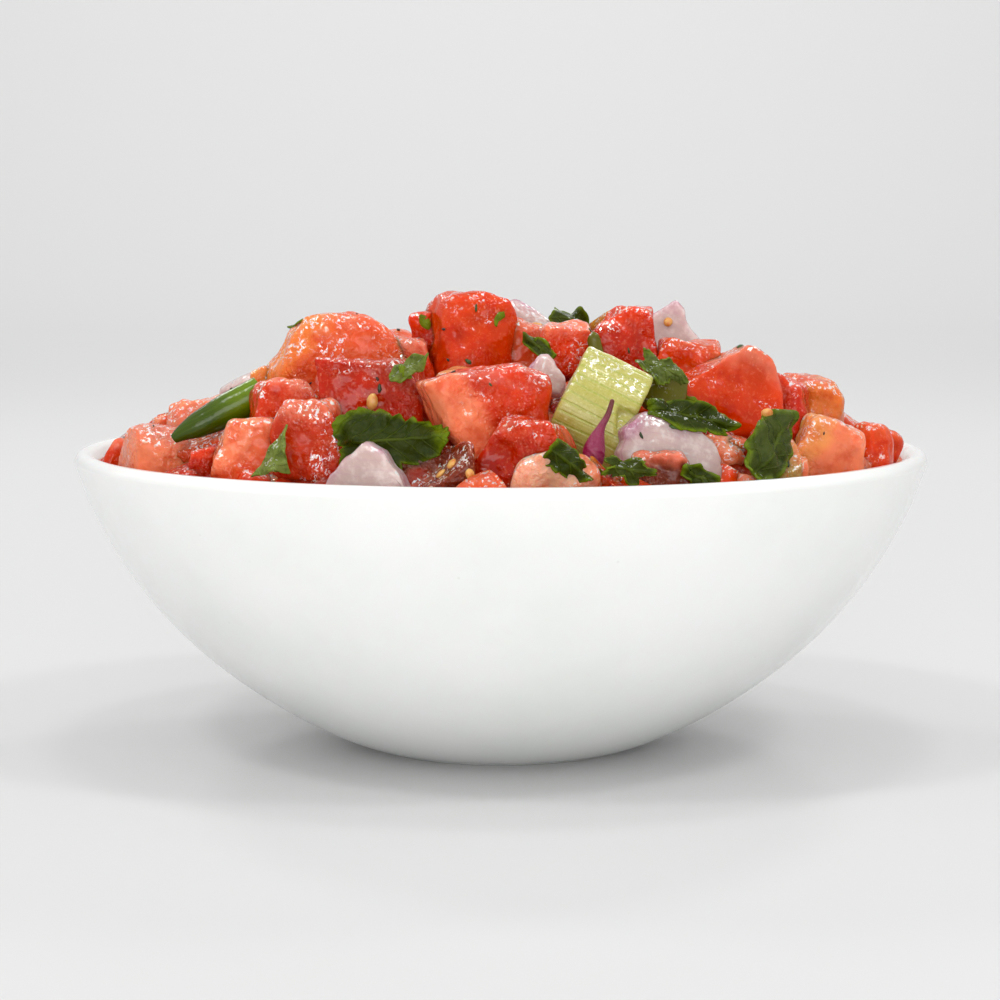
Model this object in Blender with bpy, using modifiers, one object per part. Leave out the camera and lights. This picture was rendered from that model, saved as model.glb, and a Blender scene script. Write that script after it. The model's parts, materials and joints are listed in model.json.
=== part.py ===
"""Chopped tomato salsa heaped in a plain round white bowl.

Everything is at its real size, in metres, with +Z up. The bowl stands on z = 0 with its axis on
the Z axis, and -Y is its front. The salsa is a core of pulp with the chopped tomato fused to it.
The larger pieces of red onion, celery, green pepper, spring onion and coriander leaf are separate
solids that lie in pockets of the tomato.
"""

import math
import random
from collections import namedtuple

import bmesh
import bpy
from mathutils import Matrix, Vector

MM = 0.001

# The bowl: its wall rises gently from the foot and steeply at the lip.
BOWL_RADIUS = 75 * MM
BOWL_HEIGHT = 52.5 * MM
LIP_ROUNDING = 1.65 * MM
LIP_BEAD = 0.25 * MM
WALL_START = 21.3 * MM
GENTLE_SHARE = 0.712
GENTLE_POWER = 1.424
STEEP_POWER = 6.0
WALL = 2 * LIP_ROUNDING
WALL_EXTRA_AT_FOOT = 1.2 * MM
FOOT_OUT = 22.8 * MM
FOOT_IN = 18.6 * MM
FOOT_RECESS = 0.8 * MM
FOOT_SHARE = 0.062
WALL_SHARES = (0, 0.35, 0.62, 0.82, 0.93, 1)
LIP_ANGLES = (124, 90, 56, 22, -15)
BOWL_STEPS = 56

# The salsa: a dome of pulp up to CORE_PEAK above the rim, and pieces that stand out of it.
CORE_PEAK = 14.5 * MM
CORE_EDGE = -3.5 * MM
CORE_EDGE_RADIUS = 70 * MM
DOME_POWER = 2.4
DOME_SHARES = (0, 0.3, 0.52, 0.7, 0.85, 0.95, 1)
PLUG_OVERLAP = 5 * MM
AIR_ABOVE = 60 * MM
HEAP_PEAK = 18.0 * MM
HEAP_STEPS = 28
WALL_GAP = 0.45 * MM
POCKET_GAP = 0.42 * MM
LEAF_THICKNESS = 0.6 * MM
LEAF_TRENCH = 9 * MM
LEAF_POINTS = 12
EDGE_UNEVENNESS = 0.1
TOOTH_UNEVENNESS = 0.06
CORNER_SHARE = 0.84
SHARP_ANGLE = math.radians(40)
FILLERS = 47
FILLER_REACH = 64.5 * MM
FILLER_SIZES = (11.0, 16.0)
FILLER_SUNK = (2.5, 5.5)
FILLER_CLEARANCE = 0.36
FILLER_UNDER_TOPPING = 4.5
UNEVENNESS = 0.17
GOLDEN_ANGLE = math.radians(137.508)

# Where a piece lies, in millimetres: z is above the rim. Turn is about the vertical, lean tips
# the piece back, and roll is anticlockwise as the front sees it.
Place = namedtuple("Place", "x y z turn lean roll")

# Each tomato piece: its place, its width, depth and height in millimetres, its taper (the width
# at the top over that at the bottom) and rounding, and its seed.
TOMATO = {
    "far_left_tip": (Place(-64.5, -17.5, -1.0, 10, 0, -20), (7, 6, 7), (0.6, 0.16), 1),
    "left_front": (Place(-55.6, -33.5, 0.8, -15, 5, -6), (13.5, 10, 11.5), (0.7, 0.2), 2),
    "left_sliver": (Place(-46.4, -44.0, 0.5, 0, 0, 0), (7, 5, 7), (1, 0.16), 3),
    "left_round": (Place(-39.0, -48.8, 2.4, 8, 8, -4), (14.5, 9, 12.5), (0.62, 0.2), 4),
    "pale_behind_stick": (Place(-49.9, -27.0, 7.0, 0, 10, 10), (11, 9, 9.5), (0.7, 0.2), 5),
    "wet_small": (Place(-34.4, -43.0, 9.2, 12, 5, 8), (11, 9, 11.5), (0.7, 0.18), 6),
    "wet_large": (Place(-30.1, -51.5, 4.8, -10, 6, 4), (12.5, 8, 15), (0.78, 0.22), 7),
    "left_peak": (Place(-26.5, -27.0, 15.6, 10, 8, 4), (20.5, 13, 17), (0.62, 0.18), 8),
    "dark_speckled": (Place(-20.5, -45.3, 12.4, 0, 8, 0), (16, 9, 10.5), (1, 0.12), 9),
    "behind_gap": (Place(-16.0, -26.0, 15.5, 0, 0, 0), (9, 8, 9), (0.9, 0.16), 10),
    "pulp_left": (Place(-9.3, -62.8, 1.4, 0, 0, 0), (12.5, 6, 9), (1, 0.16), 11),
    "cherry": (Place(-5.2, -23.0, 19.8, 20, 5, 0), (13.8, 14, 16), (0.9, 0.28), 12),
    "cherry_side": (Place(2.8, -22.0, 18.4, 0, 0, -20), (9, 8, 10), (0.9, 0.16), 13),
    "cherry_left": (Place(-12.4, -20.5, 19.6, 0, 0, 10), (6, 6, 9), (0.8, 0.25), 27),
    "centre": (Place(-1.1, -51.5, 9.6, 16, 8, 8), (17.5, 11, 14), (1.45, 0.12), 14),
    "centre_low": (Place(4.2, -60.5, 3.2, -12, 5, -12), (13.5, 8, 13), (0.62, 0.14), 15),
    "front_pale": (Place(8.6, -64.6, 0.3, 0, 0, 0), (13, 5, 8), (0.8, 0.2), 16),
    "top_pink": (Place(10.8, -27.0, 18.6, 0, 0, 0), (8.5, 8, 9), (0.85, 0.2), 17),
    "top_red": (Place(20.3, -24.0, 18.2, 10, 5, -8), (12.5, 11, 15), (1.2, 0.16), 18),
    "top_right": (Place(31.0, -26.0, 15.8, 0, 0, -5), (11, 9, 9), (0.9, 0.16), 19),
    "right_peak": (Place(37.6, -32.5, 11.6, 15, 10, -14), (17, 12, 16), (0.58, 0.14), 20),
    "right_shoulder": (Place(45.5, -29.5, 8.6, -10, 10, -12), (9, 10, 12), (0.8, 0.18), 21),
    "orange_end": (Place(51.8, -21.0, 8.6, 10, 5, -12), (12.5, 10, 10), (0.8, 0.28), 22),
    "peach_right": (Place(53.4, -34.2, 1.9, 10, 5, -8), (13, 9, 12), (0.68, 0.18), 23),
    "pulp_right": (Place(62.0, -25.0, 1.2, 15, 0, 0), (7, 7, 9), (0.8, 0.28), 24),
    "tan_low": (Place(43.8, -47.2, 0.6, 0, 0, 0), (8, 7, 9.5), (0.8, 0.2), 25),
    "brown_low": (Place(25.0, -58.4, 0.2, 0, 0, 10), (9, 7, 8.5), (0.7, 0.16), 26),
    "crown_left": (Place(-8.0, -4.0, 12.5, 20, 0, 0), (14, 13, 11), (0.8, 0.16), 28),
    "crown_middle": (Place(7.5, -10.0, 13.8, -15, 0, 0), (15, 13, 12), (0.8, 0.16), 29),
    "crown_right": (Place(25.0, -9.0, 12.8, 30, 0, 0), (14, 12, 12), (0.8, 0.16), 30),
}

# Each onion piece: its place, its width, thickness and height, how far it bulges, and its seed.
ONION = {
    "onion_front_left": (Place(-20.9, -62.4, 0.4, -18, 4, 0), (16.5, 3.6, 10.5), 2.4, 41),
    "onion_front_right": (Place(27.2, -56.4, 4.2, 22, 12, -14), (18.5, 3.8, 10.5), 2.6, 42),
    "onion_top_left": (Place(5.6, -15.5, 21.2, 0, 20, -24), (14, 4.6, 8), 1.2, 43),
    "onion_top_right": (Place(30.0, -12.5, 20.0, 10, 15, -38), (12, 4.6, 10), 1.4, 44),
    "onion_by_celery": (Place(7.6, -42.5, 15.2, 10, 20, -20), (7, 3.2, 6.5), 0.8, 45),
}

# Each coriander leaf: its place, its length and width, its tooth depth, its folds and its seed.
LEAF = {
    "leaf_left_pointed": (Place(-35.2, -58.4, 3.4, -14, 16, 66), (12.5, 6.5), 0.34, 0.8, 61),
    "leaf_left_serrated": (Place(-18.2, -59.6, 5.8, -10, 22, 8), (21.5, 13.5), 0.16, 1.4, 62),
    "leaf_strip": (Place(-14.6, -50.8, 16.8, 0, 40, 38), (7.4, 3.4), 0.06, 0.3, 63),
    "leaf_top": (Place(11.6, -15.0, 22.6, 0, 35, 0), (7, 5), 0.06, 0.4, 64),
    "leaf_by_onion": (Place(6.2, -34.2, 19.4, 0, 30, -38), (6.5, 2.8), 0.06, 0.3, 65),
    "leaf_right_curled": (Place(25.6, -46.8, 16.6, 14, 30, -40), (10, 5.5), 0.14, 0.9, 66),
    "leaf_right_long": (Place(29.9, -54.0, 9.3, 26, 20, -14), (17, 6), 0.08, 0.8, 67),
    "leaf_right_folded": (Place(43.0, -52.4, 4.6, 38, 14, 44), (14.5, 9.5), 0.05, 1.5, 68),
    "leaf_front_dark": (Place(10.2, -67.2, 3.4, 8, 16, -36), (9.5, 5.4), 0.14, 0.8, 69),
    "leaf_front_curly": (Place(19.4, -66.0, 2.2, 16, 20, -8), (10, 4.6), 0.2, 0.7, 70),
    "leaf_front_right": (Place(30.6, -61.2, 0.6, 26, 20, -24), (7, 3.4), 0.06, 0.3, 71),
}

# What lies on the sides and the back: the bearing from +X in degrees, the distance from the
# axis in millimetres, the roll, the sizes as above, and the seed.
BACK_ONION = {
    "onion_back_1": (22, 46, 15, (13, 4, 9), 1.6, 51),
    "onion_back_2": (62, 58, -20, (15, 3.8, 9), 2.0, 52),
    "onion_back_3": (98, 33, 35, (12, 4.2, 8), 1.2, 53),
    "onion_back_4": (128, 55, 5, (14, 4, 10), 1.8, 54),
    "onion_back_5": (172, 45, -30, (12, 4, 9), 1.4, 55),
}
BACK_LEAF = {
    "leaf_back_1": (38, 58, 20, (15, 9), 0.16, 1.1, 81),
    "leaf_back_2": (80, 47, -30, (17, 9), 0.16, 1.2, 82),
    "leaf_back_3": (112, 61, 10, (12, 7), 0.12, 0.9, 83),
    "leaf_back_4": (150, 38, 50, (14, 6), 0.08, 0.9, 84),
    "leaf_back_5": (160, 60, -15, (13, 8), 0.14, 1.0, 85),
}

# Celery and green pepper: their places and sizes as the onion's, and the pepper's seeds.
CELERY_FRONT = (Place(15.3, -52.6, 10.4, 4, 12, -27), (11.8, 5.2, 18.0), 3.8)
CELERY_BACK = (104, 50, 20, (12, 5, 12), 2.4)
CELERY_RIBS = 6
RIB_DEPTH = 0.55 * MM
PEPPER_FRONT = (Place(26.4, -43.4, 12.6, 15, 20, -20), (7.5, 2.6, 8), 1.0, 91)
PEPPER_STRIP = (Place(15.6, -31.8, 18.6, 0, 12, 12), (2.6, 2.4, 6.5), 0.3, 93)
PEPPER_BACK = (48, 40, -10, (10, 2.6, 8), 1.2, 92)

# The spring onion stick and the purple onion tip, as points along each in millimetres (z above
# the rim) with the radius there.
STICK = [
    ((-53.0, -40.8, 4.6), 0.7),
    ((-51.2, -40.6, 5.8), 1.5),
    ((-48.4, -40.2, 7.2), 2.2),
    ((-44.0, -39.4, 9.4), 2.7),
    ((-38.6, -38.2, 12.2), 2.9),
]
ONION_TIP = [
    ((14.4, -63.6, 1.6), 0.8),
    ((14.3, -63.4, 3.0), 1.8),
    ((14.3, -63.2, 4.8), 2.2),
    ((14.7, -63.0, 6.6), 1.5),
    ((15.4, -62.8, 8.4), 0.7),
    ((16.5, -62.4, 10.4), 0.55),
    ((17.2, -62.0, 12.6), 0.4),
]
TUBE_SIDES = 10

COLOUR = {
    "porcelain": ((0.83, 0.84, 0.83), 0.12),
    "tomato": ((0.62, 0.07, 0.03), 0.25),
    "onion": ((0.62, 0.46, 0.48), 0.25),
    "purple_onion": ((0.27, 0.02, 0.13), 0.25),
    "celery": ((0.55, 0.58, 0.17), 0.3),
    "green_pepper": ((0.16, 0.19, 0.02), 0.3),
    "spring_onion": ((0.06, 0.17, 0.01), 0.25),
    "coriander": ((0.03, 0.11, 0.01), 0.4),
}


def finish_of(name):
    """The Principled material of that name, made once."""
    if name in bpy.data.materials:
        return bpy.data.materials[name]
    colour, roughness = COLOUR[name]
    material = bpy.data.materials.new(name)
    material.use_nodes = True
    shader = material.node_tree.nodes["Principled BSDF"]
    shader.inputs["Base Color"].default_value = (*colour, 1)
    shader.inputs["Roughness"].default_value = roughness
    shader.inputs["Metallic"].default_value = 0
    return material


def collection_of(name):
    """The scene's collection of that name, made once."""
    if name not in bpy.data.collections:
        bpy.context.scene.collection.children.link(bpy.data.collections.new(name))
    return bpy.data.collections[name]


def add_object(name, bm, material, collection):
    """A new object from the bmesh, in the collection of that name."""
    mesh = bpy.data.meshes.new(name)
    bm.to_mesh(mesh)
    bm.free()
    mesh.shade_smooth()
    mesh.set_sharp_from_angle(angle=SHARP_ANGLE)
    if material:
        mesh.materials.append(finish_of(material))
    obj = bpy.data.objects.new(name, mesh)
    collection_of(collection).objects.link(obj)
    if collection == "cutters":
        obj.hide_render = True
        obj.display_type = "WIRE"
    return obj


def stand(obj, place):
    """Puts the object at its place: rolled, then leant back, then turned."""
    obj.rotation_mode = "YXZ"
    obj.location = (place.x * MM, place.y * MM, BOWL_HEIGHT + place.z * MM)
    obj.rotation_euler = [math.radians(a) for a in (-place.lean, -place.roll, place.turn)]


def settled(obj):
    """The object's evaluated mesh with its placement applied, as a bmesh."""
    bpy.context.view_layer.update()
    graph = bpy.context.evaluated_depsgraph_get()
    mesh = bpy.data.meshes.new_from_object(obj.evaluated_get(graph))
    bm = bmesh.new()
    bm.from_mesh(mesh)
    bm.transform(obj.matrix_world)
    bpy.data.meshes.remove(mesh)
    return bm


def turned(name, profile, steps, material, collection):
    """A body of revolution from a profile of (radius, height) that runs down its outer side."""
    bm = bmesh.new()
    verts = [bm.verts.new((radius, 0, height)) for radius, height in profile]
    for upper, lower in zip(verts, verts[1:]):
        bm.edges.new((upper, lower))
    obj = add_object(name, bm, material, collection)
    screw = obj.modifiers.new("turn", "SCREW")
    screw.axis = "Z"
    screw.angle = 2 * math.pi
    screw.steps = steps
    screw.render_steps = steps
    screw.use_merge_vertices = True
    screw.merge_threshold = 1e-5
    screw.use_smooth_shade = True
    return obj


def outer_wall(share):
    """A point of the bowl's outer side, for share 0 at the foot to 1 at the lip."""
    radius = WALL_START + (BOWL_RADIUS - LIP_BEAD - WALL_START) * share
    rise = (1 - GENTLE_SHARE) * share**STEEP_POWER + GENTLE_SHARE * share**GENTLE_POWER
    return radius, (BOWL_HEIGHT - LIP_ROUNDING) * rise


def inner_wall(share, gap=0.0):
    """A point of the bowl's inner side, or of a surface that keeps a gap to it."""
    low = outer_wall(max(share - 0.01, 0))
    high = outer_wall(min(share + 0.01, 1))
    slope = math.atan2(high[1] - low[1], high[0] - low[0])
    inset = WALL + WALL_EXTRA_AT_FOOT * (1 - share) + gap
    radius, height = outer_wall(share)
    return radius - inset * math.sin(slope), height + inset * math.cos(slope)


def bowl():
    """The bowl as one turned body: its inside, its round lip, its outside and its foot."""
    inside = [inner_wall(share) for share in WALL_SHARES]
    middle = (BOWL_RADIUS - LIP_ROUNDING, BOWL_HEIGHT - LIP_ROUNDING)
    turns = [math.radians(angle) for angle in LIP_ANGLES]
    lip = [
        (middle[0] + LIP_ROUNDING * math.cos(turn), middle[1] + LIP_ROUNDING * math.sin(turn))
        for turn in turns
    ]
    outside = [outer_wall(share) for share in reversed(WALL_SHARES[1:-1])]
    foot = [outer_wall(FOOT_SHARE), (FOOT_OUT, 0), (FOOT_IN, 0)]
    foot += [(FOOT_IN - FOOT_RECESS, FOOT_RECESS), (0, FOOT_RECESS)]
    profile = [(0, inside[0][1]), *inside, *lip, *outside, *foot]
    return turned("bowl", profile, BOWL_STEPS, "porcelain", "salsa_in_bowl")


def dome(radius, peak):
    """The height of a dome over the rim's level, at a distance from the axis."""
    share = min(radius / CORE_EDGE_RADIUS, 1.0)
    return BOWL_HEIGHT + CORE_EDGE + (peak - CORE_EDGE) * (1 - share**DOME_POWER)


def core():
    """The pulp: a dome on a plug that reaches past the bowl's inside, which then trims it."""
    radii = [share * CORE_EDGE_RADIUS for share in DOME_SHARES]
    profile = [(radius, dome(radius, CORE_PEAK)) for radius in radii]
    plug, below = BOWL_RADIUS + PLUG_OVERLAP, -PLUG_OVERLAP
    profile += [(plug, profile[-1][1] - 1 * MM), (plug, below), (0, below)]
    return turned("salsa_heap", profile, HEAP_STEPS, "tomato", "salsa_in_bowl")


def bowl_inside():
    """The space that the salsa may fill: the bowl's inside less a gap, and the air above it."""
    sides = [inner_wall(share, WALL_GAP) for share in reversed(WALL_SHARES)]
    top = BOWL_HEIGHT + AIR_ABOVE
    profile = [(0, top), (sides[0][0], top), *sides, (0, sides[-1][1])]
    return turned("bowl_inside", profile, HEAP_STEPS, None, "cutters")


def cut_block(size, taper, rounding, seed):
    """A hand-cut dice of vegetable: a tapered cube with uneven corners and rounded edges."""
    rng = random.Random(seed)
    bm = bmesh.new()
    bmesh.ops.create_cube(bm, size=1.0)
    for vert in bm.verts:
        stretch = [1 + rng.uniform(-UNEVENNESS, UNEVENNESS) for _ in range(3)]
        stretch[0] *= 2 * (taper if vert.co.z > 0 else 1) / (1 + taper)
        vert.co = Vector(c * s * f * MM for c, s, f in zip(vert.co, size, stretch))
    bmesh.ops.bevel(
        bm,
        geom=bm.edges[:],
        offset=rounding * min(size) * MM,
        segments=1,
        profile=0.5,
        affect="EDGES",
        clamp_overlap=True,
        material=-1,
    )
    return bm


def slope_place(bearing, distance, roll, sunk=0.0):
    """The place of a piece that lies on the heap's side, facing outwards."""
    angle = math.radians(bearing)
    step = 1.0
    fall = dome((distance + step) * MM, HEAP_PEAK) - dome((distance - step) * MM, HEAP_PEAK)
    tilt = math.degrees(math.atan2(2 * step * MM, -fall))
    height = (dome(distance * MM, HEAP_PEAK) - BOWL_HEIGHT) / MM - sunk
    return Place(
        distance * math.cos(angle), distance * math.sin(angle), height, bearing + 90, tilt, roll
    )


def over(place, size, other, wide):
    """Whether two pieces lie over each other, seen from above."""
    reach = FILLER_CLEARANCE * (size[0] + wide[0])
    return math.hypot(place.x - other.x, place.y - other.y) < reach


def filler_blocks():
    """Dice on a golden-angle spiral over the heap, left out where a named dice already lies."""
    rng = random.Random(7)
    rows = []
    for index in range(FILLERS):
        distance = FILLER_REACH / MM * math.sqrt((index + 0.5) / FILLERS)
        bearing = math.degrees(index * GOLDEN_ANGLE) % 360
        size = [rng.uniform(*FILLER_SIZES) for _ in range(3)]
        roll = rng.uniform(-45, 45)
        sunk = rng.uniform(*FILLER_SUNK)
        place = slope_place(bearing, distance, roll, sunk)
        if any(over(place, size, *row[:2]) for row in TOMATO.values()):
            continue
        toppings = [*ONION.values(), *LEAF.values(), CELERY_FRONT, PEPPER_FRONT]
        if any(over(place, size, *row[:2]) for row in toppings):
            place = place._replace(z=place.z - FILLER_UNDER_TOPPING)
        rows.append((place, size, (rng.uniform(0.65, 1), rng.uniform(0.14, 0.22)), 100 + index))
    return rows


def tomato_pieces():
    """Every tomato dice as its own object, in a collection that is fused to the core."""
    rows = dict(TOMATO)
    for index, row in enumerate(filler_blocks()):
        rows[f"filler_{index}"] = row
    for name, (place, size, (taper, rounding), seed) in rows.items():
        stand(add_object(name, cut_block(size, taper, rounding, seed), None, "tomato_pieces"), place)
    return bpy.data.collections["tomato_pieces"]


def bent_sheet(size, bulge, seed, columns=4, rows=3, ribs=0):
    """A piece of a curved layer, upright and facing -Y, its edges uneven and its corners cut."""
    rng = random.Random(seed)
    width, _, height = size
    bm = bmesh.new()
    bmesh.ops.create_grid(bm, x_segments=columns, y_segments=rows, size=0.5)
    for vert in bm.verts:
        across, up = vert.co.x * 2, vert.co.y * 2
        at_edge = max(abs(across), abs(up)) > 0.99
        at_corner = min(abs(across), abs(up)) > 0.99
        share = 1 - rng.uniform(0, EDGE_UNEVENNESS) * at_edge
        if at_corner:
            share *= CORNER_SHARE
        back = bulge * (up * up if ribs else 0.75 * across * across + 0.25 * up * up) * MM
        if ribs:
            row = round((up + 1) / 2 * rows)
            back += RIB_DEPTH * (row % 2)
            share = 1
        vert.co = (across * width / 2 * share * MM, back, up * height / 2 * share * MM)
    bmesh.ops.triangulate(bm, faces=bm.faces[:])
    return bm


def leaf_blade(size, tooth, fold, seed):
    """A coriander leaf, upright and facing -Y: an oval with a toothed edge and wavy folds."""
    rng = random.Random(seed)
    length, width = size
    bm = bmesh.new()
    bmesh.ops.create_circle(bm, cap_ends=True, cap_tris=True, segments=LEAF_POINTS, radius=1.0)
    hub = min(bm.verts, key=lambda vert: vert.co.length)
    spokes = list(hub.link_edges)
    bmesh.ops.subdivide_edges(bm, edges=spokes, cuts=1, use_grid_fill=True)
    rim = sorted(
        (vert for vert in bm.verts if vert.co.length > 0.9),
        key=lambda vert: math.atan2(vert.co.y, vert.co.x),
    )
    for index, vert in enumerate(rim):
        dent = tooth * (index % 2) + rng.uniform(0, TOOTH_UNEVENNESS)
        vert.co *= 1 - dent
    for vert in bm.verts:
        along, across = vert.co.x, vert.co.y
        wave = fold * (abs(across) - 0.5 * along * along + 0.5 * math.sin(3 * along + seed))
        vert.co = (along * length / 2 * MM, wave * MM, across * width / 2 * MM)
    bmesh.ops.triangulate(bm, faces=bm.faces[:])
    return bm


def thicken(obj, thickness):
    """Gives an open sheet its thickness, half to each side."""
    solidify = obj.modifiers.new("thickness", "SOLIDIFY")
    solidify.thickness = thickness
    solidify.offset = 0
    solidify.use_even_offset = True


def grown(bm, gap):
    """Moves every face of a closed bmesh outwards by the gap."""
    bmesh.ops.recalc_face_normals(bm, faces=bm.faces[:])
    bm.normal_update()
    moves = [vert.normal * min(vert.calc_shell_factor(), 1.6) * gap for vert in bm.verts]
    for vert, move in zip(bm.verts, moves):
        vert.co += move
    return bm


def trench(name, obj, size):
    """The room in front of a leaf, so that no tomato hides it: its outline drawn outwards."""
    bm = bmesh.new()
    bm.from_mesh(obj.data)
    length, width = size
    clear = 2 * POCKET_GAP / MM
    bmesh.ops.scale(bm, vec=((length + clear) / length, 1, (width + clear) / width), verts=bm.verts)
    bmesh.ops.translate(bm, vec=(0, LEAF_THICKNESS / 2 + POCKET_GAP, 0), verts=bm.verts)
    front = bmesh.ops.extrude_face_region(bm, geom=bm.faces[:])["geom"]
    front = [item for item in front if isinstance(item, bmesh.types.BMVert)]
    bmesh.ops.translate(bm, vec=(0, -LEAF_TRENCH, 0), verts=front)
    bmesh.ops.recalc_face_normals(bm, faces=bm.faces[:])
    cutter = add_object(name, bm, None, "cutters")
    cutter.matrix_world = obj.matrix_world.copy()
    return cutter


def tube(name, points, material):
    """A bent tube of varying radius with flat ends, from points in millimetres."""
    curve = bpy.data.curves.new(name, "CURVE")
    curve.dimensions = "3D"
    curve.bevel_depth = MM
    curve.bevel_resolution = (TUBE_SIDES - 4) // 2
    curve.use_fill_caps = True
    spline = curve.splines.new("POLY")
    spline.points.add(len(points) - 1)
    for point, ((x, y, z), radius) in zip(spline.points, points):
        point.co = (x * MM, y * MM, BOWL_HEIGHT + z * MM, 1)
        point.radius = radius
    path = bpy.data.objects.new(name + "_path", curve)
    collection_of("salsa_in_bowl").objects.link(path)
    bm = settled(path)
    bpy.data.objects.remove(path)
    bmesh.ops.remove_doubles(bm, verts=bm.verts, dist=1e-6)
    bmesh.ops.recalc_face_normals(bm, faces=bm.faces[:])
    return add_object(name, bm, material, "salsa_in_bowl")


def sheets():
    """The onion, celery, pepper and leaf pieces, each at its place."""
    made = []
    onions = dict(ONION)
    for name, (bearing, distance, roll, size, bulge, seed) in BACK_ONION.items():
        onions[name] = (slope_place(bearing, distance, roll), size, bulge, seed)
    for name, (place, size, bulge, seed) in onions.items():
        obj = add_object(name, bent_sheet(size, bulge, seed), "onion", "salsa_in_bowl")
        made.append((obj, place, size, size[1] * MM))
    peppers = {
        "pepper_front": PEPPER_FRONT,
        "pepper_strip": PEPPER_STRIP,
        "pepper_back": (slope_place(*PEPPER_BACK[:3]), *PEPPER_BACK[3:]),
    }
    for name, (place, size, bulge, seed) in peppers.items():
        obj = add_object(name, bent_sheet(size, bulge, seed), "green_pepper", "salsa_in_bowl")
        made.append((obj, place, size, size[1] * MM))
    celeries = {
        "celery_front": CELERY_FRONT,
        "celery_back": (slope_place(*CELERY_BACK[:3]), *CELERY_BACK[3:]),
    }
    for name, (place, size, bulge) in celeries.items():
        blade = bent_sheet(size, bulge, 31, columns=2, rows=2 * CELERY_RIBS, ribs=CELERY_RIBS)
        obj = add_object(name, blade, "celery", "salsa_in_bowl")
        made.append((obj, place, size, size[1] * MM))
    leaves = dict(LEAF)
    for name, (bearing, distance, roll, size, tooth, fold, seed) in BACK_LEAF.items():
        leaves[name] = (slope_place(bearing, distance, roll, -1.5), size, tooth, fold, seed)
    for name, (place, size, tooth, fold, seed) in leaves.items():
        blade = leaf_blade(size, tooth, fold, seed)
        obj = add_object(name, blade, "coriander", "salsa_in_bowl")
        made.append((obj, place, size, LEAF_THICKNESS))
    for obj, place, _, thickness in made:
        stand(obj, place)
        thicken(obj, thickness)
    bpy.context.view_layer.update()
    for obj, _, size, thickness in made:
        if thickness == LEAF_THICKNESS:
            trench("trench_" + obj.name, obj, size)
    return [obj for obj, *_ in made]


def cut(target, operation, cutter, solver="EXACT"):
    """Adds a Boolean modifier with an object or a collection."""
    modifier = target.modifiers.new(operation.lower(), "BOOLEAN")
    modifier.operation = operation
    modifier.solver = solver
    if isinstance(cutter, bpy.types.Collection):
        modifier.operand_type = "COLLECTION"
        modifier.collection = cutter
    else:
        modifier.object = cutter


def islands(bm):
    """The connected groups of faces."""
    left = set(bm.faces)
    while left:
        start = left.pop()
        group = {start}
        front = [start]
        while front:
            face = front.pop()
            for edge in face.edges:
                for other in edge.link_faces:
                    if other in left:
                        left.remove(other)
                        group.add(other)
                        front.append(other)
        yield group


def signed_volume(faces):
    """Six times the volume that a closed group of faces holds."""
    total = 0.0
    for face in faces:
        first, *rest = [vert.co for vert in face.verts]
        for one, two in zip(rest, rest[1:]):
            total += first.dot(one.cross(two))
    return total


def apply_all(obj):
    """Applies the placement and the modifiers, and keeps the largest body of what they leave."""
    bm = settled(obj)
    bmesh.ops.triangulate(bm, faces=bm.faces[:])
    groups = sorted(islands(bm), key=signed_volume)
    scraps = [face for group in groups[:-1] for face in group]
    bmesh.ops.delete(bm, geom=scraps, context="FACES")
    loose = [vert for vert in bm.verts if not vert.link_faces]
    bmesh.ops.delete(bm, geom=loose, context="VERTS")
    bm.to_mesh(obj.data)
    bm.free()
    obj.modifiers.clear()
    obj.matrix_world = Matrix()
    obj.data.shade_smooth()
    obj.data.set_sharp_from_angle(angle=SHARP_ANGLE)


def near(one, other):
    """Whether the boxes of two settled objects come within the pocket's gap of each other."""
    corners = [[obj.matrix_world @ Vector(corner) for corner in obj.bound_box] for obj in (one, other)]
    lows = [[min(c[axis] for c in box) for axis in range(3)] for box in corners]
    highs = [[max(c[axis] for c in box) for axis in range(3)] for box in corners]
    return all(
        lows[0][axis] < highs[1][axis] + POCKET_GAP and lows[1][axis] < highs[0][axis] + POCKET_GAP
        for axis in range(3)
    )


def drop_collection(name):
    """Removes a collection's objects and the collection."""
    collection = bpy.data.collections[name]
    for obj in list(collection.objects):
        bpy.data.objects.remove(obj)
    bpy.data.collections.remove(collection)


def build():
    """The whole part: the bowl, the heap with its pockets, and every separate piece."""
    for obj in list(bpy.data.objects):
        bpy.data.objects.remove(obj)
    bowl()
    inside = bowl_inside()
    heap = core()
    cut(heap, "UNION", tomato_pieces(), solver="MANIFOLD")
    apply_all(heap)
    drop_collection("tomato_pieces")
    cut(heap, "INTERSECT", inside, solver="MANIFOLD")
    apply_all(heap)

    toppings = [tube("onion_tip", ONION_TIP, "purple_onion"), tube("green_stick", STICK, "spring_onion")]
    toppings += sheets()
    pockets = {}
    for topping in toppings:
        for earlier, pocket in pockets.items():
            if near(topping, bpy.data.objects[earlier]):
                cut(topping, "DIFFERENCE", pocket, solver="MANIFOLD")
        cut(topping, "INTERSECT", inside, solver="MANIFOLD")
        apply_all(topping)
        pocket = grown(settled(topping), POCKET_GAP)
        pockets[topping.name] = add_object("pocket_" + topping.name, pocket, None, "cutters")
    bpy.data.objects.remove(inside)
    cut(heap, "DIFFERENCE", bpy.data.collections["cutters"], solver="MANIFOLD")
    apply_all(heap)
    drop_collection("cutters")


if __name__ == "__main__":
    build()
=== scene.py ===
"""Chopped tomato salsa in a plain round white bowl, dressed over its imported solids.

Shapes are worked out in millimetres and stand in metres. +Z is up, the bowl stands on z = 0, and
-Y is the front.
"""

import json
import math
import random
from collections import namedtuple

import bmesh
import bpy
from mathutils import Euler, Matrix, Vector, noise
from mathutils.bvhtree import BVHTree

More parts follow.
